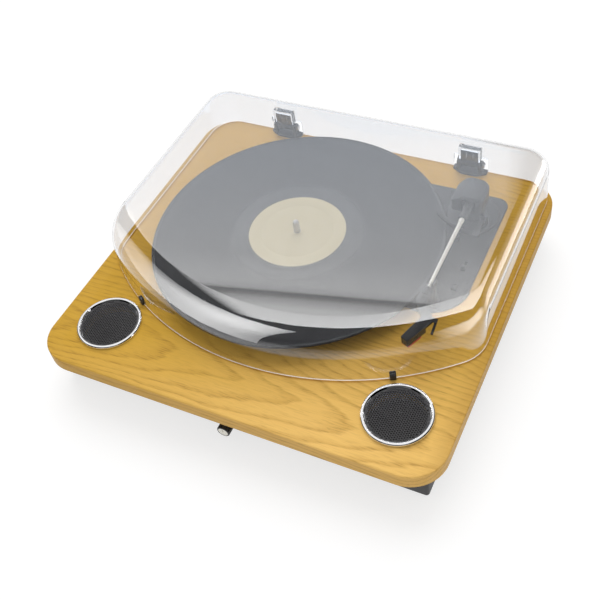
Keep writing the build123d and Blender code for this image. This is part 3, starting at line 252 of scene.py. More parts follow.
def cutter_box(low, high):
    """Throw-away box between two corners."""
    set_down()
    middle = [(a + b) / 2 for a, b in zip(low, high)]
    bpy.ops.mesh.primitive_cube_add(size=1, location=metres(middle))
    box = bpy.context.object
    box.scale = metres(b - a for a, b in zip(low, high))
    bpy.ops.object.transform_apply(location=True, rotation=True, scale=True)
    return box


def combine(piece, other, operation):
    """Adds a throw-away form to a piece, or cuts it away."""
    apply_modifier(piece, "BOOLEAN", object=other, operation=operation, solver="EXACT")
    bpy.data.objects.remove(other)


def eased_copy(node, width):
    """The CAD form of a node as one mesh, with its sharp edges eased by a width, or kept where it is 0."""
    source = frame["nodes"][node]
    piece = source.copy()
    piece.data = source.data.copy()
    piece.parent = None
    piece.matrix_world = Matrix.Identity(4)
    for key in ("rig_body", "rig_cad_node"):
        del piece[key]
    piece.name = node + "_eased"
    bpy.context.scene.collection.objects.link(piece)
    open_mesh(piece)
    bpy.ops.mesh.remove_doubles(threshold=0.001 * MM)
    bpy.ops.mesh.select_all(action="SELECT")
    bpy.ops.mesh.dissolve_limited(angle_limit=math.radians(1.0))
    set_down(piece)
    if width:
        apply_modifier(
            piece, "BEVEL", width=width * MM, segments=2, limit_method="ANGLE",
            angle_limit=math.radians(40), use_clamp_overlap=True, harden_normals=False,
        )
    return smooth(piece)


# Clear cover
def wall_inset(height, roll):
    """How far a wall of the cover has come inwards at a height over the rim."""
    into_roll = max(height - (COVER_TOP - COVER_RIM_Z) + roll, 0.0)
    return height * math.tan(COVER_DRAFT) + roll - math.sqrt(max(roll ** 2 - into_roll ** 2, 0.0))


def cover_ring(height):
    """The cover's outline at one height, drawn clockwise from the back left."""
    side = wall_inset(height, COVER_SIDE_ROLL)
    bow = COVER_BOW_R - wall_inset(height, COVER_FRONT_ROLL)
    w, back = COVER_HALF_W - side, COVER_BACK_Y - side
    r, corner = COVER_BACK_R - side, COVER_FRONT_R - side
    corner_x = w - corner
    corner_y = COVER_BOW_Y - math.sqrt((bow - corner) ** 2 - corner_x ** 2)
    lean = math.degrees(math.atan2(COVER_BOW_Y - corner_y, corner_x))
    z = COVER_RIM_Z + height
    here = (-w + r, back, z)
    ring = start_point("clear_cover", here)
    here = draw_to(here, (w - r, back, z))
    here = draw_arc(here, (w - r, back - r, z), 90, COVER_CORNER_STEPS)
    here = draw_to(here, (w, corner_y, z))
    here = draw_arc(here, (corner_x, corner_y, z), lean, COVER_CORNER_STEPS)
    here = draw_arc(here, (0, COVER_BOW_Y, z), 180 - 2 * lean, COVER_BOW_STEPS)
    here = draw_arc(here, (-corner_x, corner_y, z), lean, COVER_CORNER_STEPS)
    here = draw_to(here, (-w, back - r, z))
    draw_arc(here, (-w + r, back - r, z), 90, COVER_CORNER_STEPS)
    bpy.ops.mesh.select_all(action="SELECT")
    bpy.ops.mesh.remove_doubles(threshold=0.01 * MM)
    return set_down(ring)


def cover_shell():
    """Outlines bridged into drafted sides and a wide roll at the front, closed on top and given a wall."""
    straight = COVER_TOP - COVER_RIM_Z - COVER_FRONT_ROLL
    turns = [math.radians(90.0 * i / COVER_ROLL_STEPS) for i in range(COVER_ROLL_STEPS + 1)]
    heights = [0.0] + [straight + COVER_FRONT_ROLL * math.sin(turn) for turn in turns]
    rings = [cover_ring(height) for height in heights]
    shell = set_down(rings[0])
    for ring in rings[1:]:
        ring.select_set(True)
    bpy.ops.object.join()
    open_mesh(shell)
    bpy.ops.mesh.select_mode(type="EDGE")
    bpy.ops.mesh.bridge_edge_loops(type="SINGLE")
    bpy.ops.mesh.select_mode(type="VERT")
    bpy.ops.mesh.select_all(action="DESELECT")
    set_down(shell)
    for vertex in shell.data.vertices:
        vertex.select = vertex.co.z > (COVER_TOP - 0.01) * MM
    bpy.ops.object.mode_set(mode="EDIT")
    bpy.ops.mesh.edge_face_add()
    bpy.ops.mesh.inset(thickness=1.0 * MM)
    clean(shell)
    return apply_modifier(shell, "SOLIDIFY", thickness=COVER_WALL * MM, offset=-1.0, use_even_offset=True)


def box_at_hinge(x, half_width, depth, low, high):
    """Throw-away box centred on a hinge's X."""
    return cutter_box((x - half_width, depth[0], low), (x + half_width, depth[1], high))


def clear_cover():
    """The moulded shell with a pocket for each hinge leaf and a notch round each hinge."""
    cover = cover_shell()
    for x in (-HINGE_X, HINGE_X):
        combine(cover, box_at_hinge(x, POCKET_HALF_W, POCKET_Y, NOTCH_TOP, POCKET_TOP), "UNION")
        combine(cover, box_at_hinge(x, LEAF_HALF_W, LEAF_Y, HINGE_Z, LEAF_TOP), "DIFFERENCE")
        combine(cover, box_at_hinge(x, NOTCH_HALF_W, NOTCH_Y, NOTCH_LOW, NOTCH_TOP), "DIFFERENCE")
    return smooth(cover, 40)


# Turned pieces
def record_disc():
    """Pressed disc with a bead at the rim, shallow steps between tracks and a flat for the label."""
    land = GROOVE_Z + TRACK_STEP
    profile = [
        (SPINDLE_HOLE_R, RECORD_LOW), (RECORD_R - 0.5, RECORD_LOW), (RECORD_R, RECORD_LOW + 0.5),
        (RECORD_R, RECORD_FACE - 0.55), (RECORD_R - 0.5, RECORD_FACE - 0.03), (RECORD_R - 1.2, RECORD_FACE),
        (RECORD_R - 2.4, RECORD_FACE), (GROOVE_OUTER_R + 0.4, GROOVE_Z), (GROOVE_OUTER_R, GROOVE_Z),
    ]
    for gap_r in TRACK_GAPS:
        for step, share in ((0.8, 0), (0.5, 0), (0.35, 1), (-0.35, 1), (-0.5, 0), (-0.8, 0)):
            profile.append((gap_r + step, GROOVE_Z - share * TRACK_STEP))
    profile += [
        (RUN_OUT_R + 0.4, GROOVE_Z), (RUN_OUT_R, GROOVE_Z), (RUN_OUT_R - 0.3, land),
        (RUN_OUT_R - 0.7, land), (LABEL_R + 6.4, land), (LABEL_R + 6.0, land), (LABEL_R + 3.0, RECORD_FACE),
        (LABEL_R + 2.6, RECORD_FACE), (SPINDLE_HOLE_R, RECORD_FACE), (SPINDLE_HOLE_R, RECORD_LOW),
    ]
    return lathe("record_disc", profile, SPIN, steps=240)


def label_disc():
    """Paper label with a pressed ring a little way in from its edge."""
    profile = [
        (SPINDLE_HOLE_R, RECORD_FACE), (LABEL_R, RECORD_FACE), (LABEL_R, LABEL_TOP - 0.03),
        (LABEL_R - 0.1, LABEL_TOP),
    ]
    for step, share in ((0.6, 0), (0.3, 1), (-0.3, 1), (-0.6, 0)):
        profile.append((LABEL_RING_R + step, LABEL_TOP - share * LABEL_RING_DEPTH))
    profile += [
        (SPINDLE_HOLE_R + 0.18, LABEL_TOP), (SPINDLE_HOLE_R, LABEL_TOP - 0.03), (SPINDLE_HOLE_R, RECORD_FACE),
    ]
    return lathe("label_disc", profile, SPIN, steps=160)


def arm_rod():
    """Polished hollow tube that narrows to a neck and a bead at the headshell."""
    outside = [
        (2.5, ARM_BACK_Y), (2.6, ARM_BACK_Y - 0.3), (2.6, ARM_BACK_Y - 4.0), (2.15, ARM_BACK_Y - 5.5),
        (1.55, ARM_NOSE_Y + 6.0), (1.0, ARM_NOSE_Y + 5.6), (1.0, ARM_NOSE_Y + 3.8), (1.7, ARM_NOSE_Y + 3.2),
        (1.7, ARM_NOSE_Y + 0.5), (1.2, ARM_NOSE_Y),
    ]
    bore = [
        (0.8, ARM_NOSE_Y), (0.8, ARM_NOSE_Y + 7.0), (1.6, ARM_BACK_Y - 8.0), (2.0, ARM_BACK_Y - 6.0),
        (2.0, ARM_BACK_Y),
    ]
    points = [(ARM_X + radius, y, ARM_Z) for radius, y in bore[-1:] + outside + bore]
    return turned("arm_rod", points, (ARM_X, 0, ARM_Z), (0, 1, 0), steps=64)


def speaker_trim(side):
    """Bright ring with a rolled crown and a lip that the grille sits in."""
    z = DECK_Z
    crown_r = (TRIM_R + TRIM_INNER_R) / 2
    half_width = (TRIM_R - TRIM_INNER_R) / 2
    profile = [
        (TRIM_SEAT_R, z - TRIM_SPIGOT), (TRIM_INNER_R, z - TRIM_SPIGOT), (TRIM_INNER_R, z), (TRIM_R, z),
        (TRIM_R, z + TRIM_SKIRT),
    ]
    for degrees in range(0, 161, 20):
        turn = math.radians(degrees)
        reach = half_width if degrees <= 90 else half_width * TRIM_TUCK
        profile.append((crown_r + reach * math.cos(turn), z + TRIM_CROWN_Z + TRIM_CROWN_H * math.sin(turn)))
    profile += [
        (TRIM_INNER_R, z + TRIM_LIP_Z), (TRIM_INNER_R - 0.05, z), (TRIM_SEAT_R, z),
        (TRIM_SEAT_R, z - TRIM_SPIGOT),
    ]
    return lathe("speaker_trim_" + side, profile, SPEAKERS[side], steps=144)


# Speaker grille
def flat_ring(vertices, radius, width, place=(0, 0, 0)):
    """Flat ring in the level plane, drawn as a disc with its inset middle taken out."""
    set_down()
    bpy.ops.mesh.primitive_circle_add(
        vertices=vertices, radius=radius * MM, fill_type="NGON", location=place,
    )
    ring = bpy.context.object
    bpy.ops.object.transform_apply(location=True, rotation=True, scale=True)
    open_mesh(ring)
    bpy.ops.mesh.select_mode(type="FACE")
    bpy.ops.mesh.inset(thickness=width * MM)
    bpy.ops.mesh.delete(type="FACE")
    return set_down(ring)


def speaker_mesh(side):
    """Perforated sheet: one six-sided cell repeated in close packing, trimmed round, with a plain rim."""
    cell_r = GRILLE_PITCH / math.sqrt(3)
    mesh = flat_ring(6, cell_r, GRILLE_WEB)
    mesh.name = "speaker_mesh_" + side
    across = Vector((1.5 * cell_r, GRILLE_PITCH / 2, 0)) * MM
    along = Vector((0, GRILLE_PITCH, 0)) * MM
    for count, step in ((GRILLE_CELLS, across), (2 * GRILLE_CELLS, along)):
        apply_modifier(
            mesh, "ARRAY", count=count, use_relative_offset=False, use_constant_offset=True,
            constant_offset_displace=step, use_merge_vertices=True, merge_threshold=0.02 * MM,
        )
    centre = (across + along) * (GRILLE_CELLS - 1) / 2
    for polygon in mesh.data.polygons:
        polygon.select = (Vector(polygon.center) - centre).length > GRILLE_MESH_R * MM
    bpy.ops.object.mode_set(mode="EDIT")
    bpy.ops.mesh.select_mode(type="FACE")
    bpy.ops.mesh.delete(type="FACE")
    bpy.ops.mesh.select_all(action="SELECT")
    here = Vector(metres((*SPEAKERS[side], DECK_Z + GRILLE_TOP)))
    bpy.ops.transform.translate(value=here - centre)
    rim = flat_ring(120, GRILLE_R, GRILLE_RIM, here)
    set_down(mesh)
    rim.select_set(True)
    bpy.ops.object.join()
    apply_modifier(mesh, "SOLIDIFY", thickness=GRILLE_T * MM, offset=-1.0)
    return smooth(mesh, 30)


# Node building
def put(tree, kind, inputs=None, **settings):
    """Adds a node, sets its options, and fills or links its sockets by name or number."""
    node = tree.nodes.new("ShaderNode" + kind)
    for key, value in settings.items():
        setattr(node, key, value)
    for key, value in (inputs or {}).items():
        fill(tree, node.inputs[key], value)
    return node


def fill(tree, socket, value):
    """Links another node's output to a socket, or sets a plain value on it."""
    if isinstance(value, bpy.types.NodeSocket):
        tree.links.new(value, socket)
    else:
        socket.default_value = value


def sums(tree, operation, a, b=0.0, clamp=False):
    """One step of arithmetic, held between 0 and 1 where clamp says so."""
    return put(tree, "Math", {0: a, 1: b}, operation=operation, use_clamp=clamp).outputs[0]


def plus(tree, a, b, clamp=False):
    return sums(tree, "ADD", a, b, clamp)


def minus(tree, a, b):
    return sums(tree, "SUBTRACT", a, b)


def times(tree, a, b, clamp=False):
    return sums(tree, "MULTIPLY", a, b, clamp)


def larger(tree, a, b):
    return sums(tree, "MAXIMUM", a, b)


def blend_colour(tree, amount, a, b, mode="MIX"):
    """Goes from colour a to colour b by an amount."""
    node = put(tree, "Mix", {"Factor": amount}, data_type="RGBA", blend_type=mode)
    for name, value in (("A", a), ("B", b)):
        socket = [s for s in node.inputs if s.name == name and s.type == "RGBA"][0]
        fill(tree, socket, value)
    return [s for s in node.outputs if s.type == "RGBA"][0]


def ramp(tree, amount, stops, colour=False):
    """Levels, or colours, that change between stops."""
    node = put(tree, "ValToRGB", {"Fac": amount})
    elements = node.color_ramp.elements
    while len(elements) < len(stops):
        elements.new(1.0)
    for element, (place, value) in zip(elements, stops):
        element.position = place
        element.color = value if colour else (value, value, value, 1.0)
    return node.outputs["Color"]


def noise(tree, place, scale, detail, distortion=0.0):
    settings = {"Vector": place, "Scale": scale, "Detail": detail, "Distortion": distortion}
    return put(tree, "TexNoise", settings).outputs["Fac"]


def streaks(tree, place, scales, detail, fineness=1.0):
    """Noise that is drawn out along the axes with the smaller scales."""
    drawn = put(tree, "Mapping", {"Vector": place, "Scale": scales}).outputs["Vector"]
    return noise(tree, drawn, fineness, detail)


def axes_of(tree, place):
    return put(tree, "SeparateXYZ", {"Vector": place}).outputs


def rgba(tone):
    return (*tone, 1.0)


def new_group(name, inputs):
    """Group that reads a place and named inputs and gives colour, roughness and height."""
    tree = bpy.data.node_groups.new(name, "ShaderNodeTree")
    for socket, kind in [("Vector", "Vector")] + inputs:
        tree.interface.new_socket(socket, in_out="INPUT", socket_type="NodeSocket" + kind)
    for socket, kind in (("Color", "Color"), ("Roughness", "Float"), ("Height", "Float")):
        tree.interface.new_socket(socket, in_out="OUTPUT", socket_type="NodeSocket" + kind)
    return tree, tree.nodes.new("NodeGroupInput").outputs


def finish_group(tree, colour, rough, height):
    """Links the three results to the group's outputs."""
    sink = tree.nodes.new("NodeGroupOutput")
    for name, socket in (("Color", colour), ("Roughness", rough), ("Height", height)):
        tree.links.new(socket, sink.inputs[name])
    return tree


def new_material(name):
    """Material with an empty node tree."""
    material = bpy.data.materials.new(name)
    material.use_nodes = True
    material.node_tree.nodes.clear()
    return material, material.node_tree


# Shared surface effects
def moulded_skin():
    """Fine tooled texture of moulded plastic with faint clouding of its tone and gloss."""
    tree, given = new_group("moulded_skin", [("Tone", "Color"), ("Gloss", "Float"), ("Grain", "Float")])
    cloud = noise(tree, given["Vector"], 26.0, 3.0)
    fine = noise(tree, given["Vector"], given["Grain"], 2.0)
    lighter = blend_colour(tree, 0.18, given["Tone"], (1.0, 1.0, 1.0, 1.0), "SCREEN")
    shade = ramp(tree, cloud, [(0.3, 0.0), (0.75, 1.0)])
    colour = blend_colour(tree, times(tree, shade, 0.22), given["Tone"], lighter)
    wander = times(tree, minus(tree, cloud, 0.5), 0.22)
    rough = plus(tree, given["Gloss"], plus(tree, wander, times(tree, fine, 0.06)), clamp=True)
    return finish_group(tree, colour, rough, fine)


def turned_metal():
    """Fine turning marks and faint clouding on bright metal."""
    tree, given = new_group("turned_metal", [("Tone", "Color"), ("Gloss", "Float"), ("Marks", "Float")])
    marks = streaks(tree, given["Vector"], (1.0, 1.0, 30.0), 4.0, fineness=140.0)
    cloud = noise(tree, given["Vector"], 40.0, 2.0)
    duller = blend_colour(tree, 0.25, given["Tone"], (0.2, 0.2, 0.2, 1.0))
    colour = blend_colour(tree, times(tree, cloud, 0.35), given["Tone"], duller)
    scratch = times(tree, times(tree, marks, given["Marks"]), 0.12)
    return finish_group(tree, colour, plus(tree, given["Gloss"], scratch, clamp=True), marks)


# Tones of the oak, and the lie of its heart and rings in metres
# OAK_SHADED and the tone after it are the dark and light ends of painted light and shade across the board.
OAK_SHADED = (0.70, 0.41, 0.05, 1.0)
OAK_PAINTED_LIT = (1.0, 0.635, 0.195, 1.0)
OAK_FIBRE = (0.49, 0.255, 0.035, 1.0)
OAK_LATE_WOOD = (0.40, 0.205, 0.03, 1.0)
OAK_PORE = (0.22, 0.105, 0.03, 1.0)
# The next tone is painted shade, put on the board's right strip and on its sides below the deck face; the X
# after it is where that strip starts.
OAK_PAINTED_SHADE = (0.42, 0.22, 0.045, 1.0)
OAK_PAINTED_SHADE_X = 0.188
OAK_HEART_Y = -0.150
OAK_HEART_DEPTH = 0.022
OAK_HEART_SLOPE = 0.07
OAK_RINGS_PER_METRE = 235.0


def oak_rings(tree, axes, drift, ripple):
    """Late wood of growth rings about a heart that dives along the board, which shows as nested arches."""
    across = plus(tree, plus(tree, axes["Y"], times(tree, drift, 0.075)), -OAK_HEART_Y)
    depth = plus(tree, times(tree, axes["X"], OAK_HEART_SLOPE), OAK_HEART_DEPTH)
    depth = plus(tree, depth, times(tree, axes["Z"], 0.8))
    squares = plus(tree, times(tree, across, across), times(tree, depth, depth))
    radius = plus(tree, sums(tree, "SQRT", squares), times(tree, ripple, 0.0055))
    ring = sums(tree, "FRACT", times(tree, radius, OAK_RINGS_PER_METRE))
    return ramp(tree, ring, [(0.0, 0.0), (0.55, 0.12), (0.86, 0.9), (1.0, 0.0)])


def oak_figure():
    """Flat-cut oak along X: nested arches of growth rings, short dark pores, slow changes of tone, and
    painted light and shade.
    """
    tree, given = new_group("oak_figure", [])
    place = given["Vector"]
    axes = axes_of(tree, place)
    drift = minus(tree, streaks(tree, place, (3.0, 9.0, 9.0), 2.0), 0.5)
    ripple = streaks(tree, place, (14.0, 70.0, 70.0), 3.0)
    late = oak_rings(tree, axes, drift, ripple)
    pores = ramp(tree, streaks(tree, place, (85.0, 950.0, 950.0), 2.0), [(0.50, 0.0), (0.66, 1.0)])
    pores = times(tree, pores, plus(tree, times(tree, late, 0.8), 0.22))
    fibre = streaks(tree, place, (22.0, 420.0, 420.0), 3.0)
    # Painted light: the board is painted lighter towards its front and towards its right, with a random drift
    # of tone on top.
    painted_light_and_drift = minus(tree, -0.4, times(tree, axes["Y"], 6.0))
    painted_light_and_drift = plus(tree, painted_light_and_drift, times(tree, sums(tree, "MINIMUM", axes["X"], 0.08), 2.9))
    painted_light_and_drift = plus(tree, painted_light_and_drift, times(tree, drift, 0.7), clamp=True)
    tone = blend_colour(tree, painted_light_and_drift, OAK_SHADED, OAK_PAINTED_LIT)
    tone = blend_colour(tree, times(tree, fibre, 0.28), tone, OAK_FIBRE)
    tone = blend_colour(tree, times(tree, late, 0.36), tone, OAK_LATE_WOOD)
    tone = blend_colour(tree, times(tree, pores, 0.38), tone, OAK_PORE)
    # Painted shade: a darker tone on the strip along the board's right edge and on the board's sides below
    # the deck face.
    painted_shade_right = times(tree, minus(tree, axes["X"], OAK_PAINTED_SHADE_X), 30.0, clamp=True)
    painted_shade_sides = times(tree, sums(tree, "LESS_THAN", axes["Z"], (DECK_Z - 1.5) * MM), 0.28)
    tone = blend_colour(tree, larger(tree, times(tree, painted_shade_right, 0.7), painted_shade_sides), tone, OAK_PAINTED_SHADE)
    rough = plus(tree, times(tree, fibre, 0.14), plus(tree, times(tree, pores, 0.2), 0.34))
    return finish_group(tree, tone, rough, minus(tree, times(tree, fibre, 0.3), pores))


VINYL_LAND = (0.026, 0.026, 0.027, 1.0)
VINYL_GROOVE = (0.013, 0.013, 0.015, 1.0)


def pressed_grooves():
    """Fine rings about the spindle, louder and quieter by turns."""
    tree, given = new_group("pressed_grooves", [])
    spindle = metres((*SPIN, 0))
    moved = put(tree, "VectorMath", {0: given["Vector"], 1: spindle}, operation="SUBTRACT").outputs[0]
    flat = put(tree, "VectorMath", {0: moved, 1: (1.0, 1.0, 0.0)}, operation="MULTIPLY").outputs[0]
    radius = put(tree, "VectorMath", {0: flat}, operation="LENGTH").outputs["Value"]
    wave = sums(tree, "SINE", times(tree, radius, 2600.0))
    track = {"W": times(tree, radius, 160.0), "Scale": 1.0, "Detail": 4.0}
    broad = put(tree, "TexNoise", track, noise_dimensions="1D").outputs["Fac"]
    past_run_out = sums(tree, "GREATER_THAN", radius, RUN_OUT_R * MM)
    band = times(tree, past_run_out, sums(tree, "LESS_THAN", radius, GROOVE_OUTER_R * MM))
    loud = ramp(tree, broad, [(0.3, 0.35), (0.7, 1.0)])
    height = times(tree, times(tree, wave, band), loud)
    dull = times(tree, plus(tree, times(tree, broad, 0.3), 0.7), times(tree, band, 0.16))
    colour = blend_colour(tree, band, VINYL_LAND, VINYL_GROOVE)
    return finish_group(tree, colour, plus(tree, dull, 0.2), height)


def paper_fibre():
    """Uncoated paper: mottled tone, loose fibres and a soft tooth."""
    tree, given = new_group("paper_fibre", [("Tone", "Color")])
    mottle = noise(tree, given["Vector"], 90.0, 5.0)
    fibre = noise(tree, given["Vector"], 1400.0, 3.0, distortion=1.5)
    darker = blend_colour(tree, 1.0, given["Tone"], (0.95, 0.94, 0.91, 1.0), "MULTIPLY")
    colour = blend_colour(tree, ramp(tree, mottle, [(0.35, 0.0), (0.7, 1.0)]), given["Tone"], darker)
    return finish_group(tree, colour, plus(tree, times(tree, fibre, 0.2), 0.6), fibre)


EFFECTS = (moulded_skin, turned_metal, oak_figure, pressed_grooves, paper_fibre)
GROUPS = {make.__name__: make() for make in EFFECTS}


# Finishes
def surfaced(name, effect, values, depth, metallic=0.0, relief=0.0002, specular=0.5):
    """Material whose colour, gloss and relief come from one of the shared effects."""
    material, tree = new_material(name)
    place = put(tree, "TexCoord").outputs["Object"]
    group = put(tree, "Group", {"Vector": place, **values}, node_tree=GROUPS[effect])
    bump = put(tree, "Bump", {"Height": group.outputs["Height"], "Strength": depth, "Distance": relief})
    shader = put(tree, "BsdfPrincipled", {
        "Base Color": group.outputs["Color"], "Roughness": group.outputs["Roughness"],
        "Normal": bump.outputs["Normal"], "Metallic": metallic, "Specular IOR Level": specular,
    })
    put(tree, "OutputMaterial", {"Surface": shader.outputs["BSDF"]})
    return material


def moulded(name, tone, gloss, grain, depth):
    return surfaced(name, "moulded_skin", {"Tone": rgba(tone), "Gloss": gloss, "Grain": grain}, depth)


def metal(name, tone, gloss, marks=1.0, depth=0.05, metallic=1.0):
    values = {"Tone": rgba(tone), "Gloss": gloss, "Marks": marks}
    return surfaced(name, "turned_metal", values, depth, metallic)


def paper(name, tone, depth):
    return surfaced(name, "paper_fibre", {"Tone": rgba(tone)}, depth)


# Tints of the clear cover
COVER_TINT_LOW = (0.895, 0.895, 0.90, 1.0)
COVER_TINT_HIGH = (0.91, 0.91, 0.915, 1.0)
COVER_SHADE = (0.93, 0.93, 0.935, 1.0)
POCKET_TINT = (0.66, 0.67, 0.69, 1.0)
COVER_IOR = 1.59


def hinge_pockets(tree, place):
    """Mask of the two thick pockets that hold the hinge leaves."""
    axes = axes_of(tree, place)
    from_hinge = sums(tree, "ABSOLUTE", minus(tree, sums(tree, "ABSOLUTE", axes["X"]), HINGE_X * MM))
    pocket = sums(tree, "LESS_THAN", from_hinge, (POCKET_HALF_W + 0.4) * MM)
    pocket = times(tree, pocket, sums(tree, "LESS_THAN", axes["Y"], (POCKET_Y[1] + 0.3) * MM))
    pocket = times(tree, pocket, sums(tree, "GREATER_THAN", axes["Y"], (POCKET_Y[0] - 1.2) * MM))
    return times(tree, pocket, sums(tree, "LESS_THAN", axes["Z"], (POCKET_TOP + 0.5) * MM))


def clear_plastic():
    """Clear moulding: shiny and see-through, and light for the pieces inside passes straight through it."""
    material, tree = new_material("clear_plastic")
    place = put(tree, "TexCoord").outputs["Object"]
    haze = noise(tree, place, 14.0, 3.0)
    tint = ramp(tree, haze, [(0.0, COVER_TINT_LOW), (1.0, COVER_TINT_HIGH)], colour=True)
    tint = blend_colour(tree, hinge_pockets(tree, place), tint, POCKET_TINT)
    shader = put(tree, "BsdfPrincipled", {
        "Base Color": tint, "Roughness": times(tree, haze, 0.03), "Metallic": 0.0,
        "Transmission Weight": 1.0, "IOR": COVER_IOR,
    })
    clear = put(tree, "BsdfTransparent", {"Color": COVER_SHADE})
    path = put(tree, "LightPath").outputs
    passing = larger(tree, path["Is Shadow Ray"], path["Is Diffuse Ray"])
    mixed = put(tree, "MixShader", {0: passing, 1: shader.outputs["BSDF"], 2: clear.outputs["BSDF"]})
    put(tree, "OutputMaterial", {"Surface": mixed.outputs["Shader"]})
    return material


FINISHES = {
    "oak": surfaced("oak_veneer", "oak_figure", {}, 0.16, relief=0.00025, specular=0.14),
    "black_base": moulded("black_case", (0.022, 0.022, 0.023), 0.5, 1100.0, 0.35),
    "black_plate": moulded("black_plate", (0.02, 0.02, 0.021), 0.42, 1300.0, 0.3),
    "black_plastic": moulded("black_moulding", (0.024, 0.024, 0.025), 0.36, 1200.0, 0.2),
    "black_gloss": moulded("shiny_black", (0.014, 0.014, 0.015), 0.16, 700.0, 0.05),
    "hinge_black": moulded("hinge_black", (0.03, 0.029, 0.028), 0.4, 1200.0, 0.25),
    "rubber": moulded("black_rubber", (0.02, 0.02, 0.02), 0.72, 1500.0, 0.4),
    "mat_rubber": moulded("mat_rubber", (0.018, 0.018, 0.018), 0.75, 1500.0, 0.4),
    "bumper_rubber": moulded("bumper_rubber", (0.02, 0.02, 0.02), 0.4, 900.0, 0.2),
    "steel": metal("plated_steel", (0.62, 0.62, 0.63), 0.22),
    "spindle_steel": metal("spindle_steel", (0.6, 0.58, 0.55), 0.25, metallic=0.5),
    "brass": metal("turned_brass", (0.72, 0.53, 0.25), 0.25),
    "platter_alloy": metal("cast_alloy", (0.32, 0.32, 0.33), 0.4),
    "vinyl": surfaced("black_vinyl", "pressed_grooves", {}, 0.03, relief=0.00005),
    "label_paper": paper("label_paper", (0.58, 0.51, 0.33), 0.08),
    "arm_silver": metal("polished_alloy", (0.86, 0.84, 0.76), 0.28, metallic=0.6),
    "stylus_red": moulded("red_moulding", (0.62, 0.05, 0.03), 0.25, 800.0, 0.08),
    "chrome": metal("bright_chrome", (0.86, 0.86, 0.87), 0.03, 0.3, 0.01),
    "grille_black": moulded("grille_paint", (0.10, 0.097, 0.10), 0.42, 1600.0, 0.2),
    "cone_paper": paper("cone_paper", (0.03, 0.03, 0.03), 0.3),
    "magnet": moulded("grey_ferrite", (0.1, 0.1, 0.105), 0.6, 600.0, 0.3),
    "board_green": moulded("board_green", (0.03, 0.16, 0.06), 0.4, 500.0, 0.1),
    "socket_metal": metal("plated_socket", (0.8, 0.8, 0.8), 0.15),
    "clear_cover": clear_plastic(),
}

# Dressing the player
SLOT_OF = {part["node"]: part["material_slot"] for part in frame["record"]["subparts"]}
BODIES = frame["record"]["behaviour"]["bodies"]
BODY_OF = {node: body for body, nodes in BODIES.items() for node in nodes}


def paint(piece, node):
    """Gives a piece the finish of a node."""
    piece.data.materials.clear()
    piece.data.materials.append(FINISHES[SLOT_OF[node]])


def dress(piece, node):
    """Puts a new piece in the place of a CAD node, on its body and with its finish."""
    paint(piece, node)
    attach(piece, BODY_OF[node])
    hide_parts(node)


def paint_rim_reflection(cover):
    """Pale cream face under the rim of the cover: a painted reflection of the wood that the clear rim shows.
    """
    cover.data.materials.append(moulded("painted_rim_reflection", (0.98, 0.92, 0.79), 0.3, 600.0, 0.1))
    for polygon in cover.data.polygons:
        if polygon.center.z < (COVER_RIM_Z + 0.01) * MM and polygon.normal.z < -0.9:
            polygon.material_index = 1


for node, part in frame["nodes"].items():
    paint(part, node)

cover = clear_cover()
dress(cover, "dust_cover")
# Painted reflection: a pale cream face under the cover's rim.
paint_rim_reflection(cover)
dress(record_disc(), "record")
dress(label_disc(), "record_label")
dress(arm_rod(), "arm_tube")
for side in SPEAKERS:
    dress(speaker_trim(side), "speaker_ring_" + side)
    dress(speaker_mesh(side), "speaker_grille_" + side)

# Widths of the eased edges, in millimetres
EASED = {
    "plinth": 0.0, "base_tray": 0.5, "deck_plate": 0.0, "arm_base": 0.25, "arm_turret": 0.5,
    "arm_collar": 0.3, "headshell": 0.25, "cartridge": 0.2, "stylus": 0.15, "arm_rest": 0.4,
    "arm_lifter": 0.3, "cue_lever": 0.4, "speed_switch": 0.2, "auto_stop_switch": 0.2, "volume_knob": 0.2,
    "knob_cap": 0.15, "spindle": 0.2, "platter": 0.2, "platter_mat": 0.1, "cover_bumpers": 0.3,
    "rca_jack_left": 0.1, "rca_jack_right": 0.1, "aux_jack": 0.1, "power_inlet": 0.1,
    "foot_front_left": 0.4, "foot_front_right": 0.4, "foot_rear_left": 0.4, "foot_rear_right": 0.4,
    "hinge_base_left": 0.3, "hinge_base_right": 0.3, "hinge_tongue_left": 0.2, "hinge_tongue_right": 0.2,
    "hinge_pin_left": 0.2, "hinge_pin_right": 0.2,
}
for node, width in EASED.items():
    dress(eased_copy(node, width), node)

# Studio, in metres and degrees
WHITE = (1.0, 1.0, 1.0)
FLOOR_SIZE = 9.0
KEY_STRENGTH = 1.75
KEY_SPREAD = 62
KEY_TRAVEL = (0.30, -0.60, -0.74)
PANEL_FAR = 8.0
ROOM_BEARING = 103
TOP_PANEL_SHIFT = (0.365 * PANEL_FAR, 0.02 * PANEL_FAR)
TOP_PANEL_SIZE = (1.16 * PANEL_FAR, 0.934 * PANEL_FAR)
METAL_PIECES = ("speaker_trim_left", "speaker_trim_right", "arm_rod", "spindle_eased", "knob_cap_eased")
METAL_BOX_PLACE = (-1.3, 0.8, 3.0)
METAL_BOX_SIZE = 7.0
METAL_BOX_RADIANCE = 1.05
CAMERA_PLACE = (0.337236, -0.535731, 0.711785)
CAMERA_TURN = (41.39293, 6.9021, 25.46772)
CAMERA_LENS_MM = 54.34
CAMERA_SENSOR_MM = 36.0


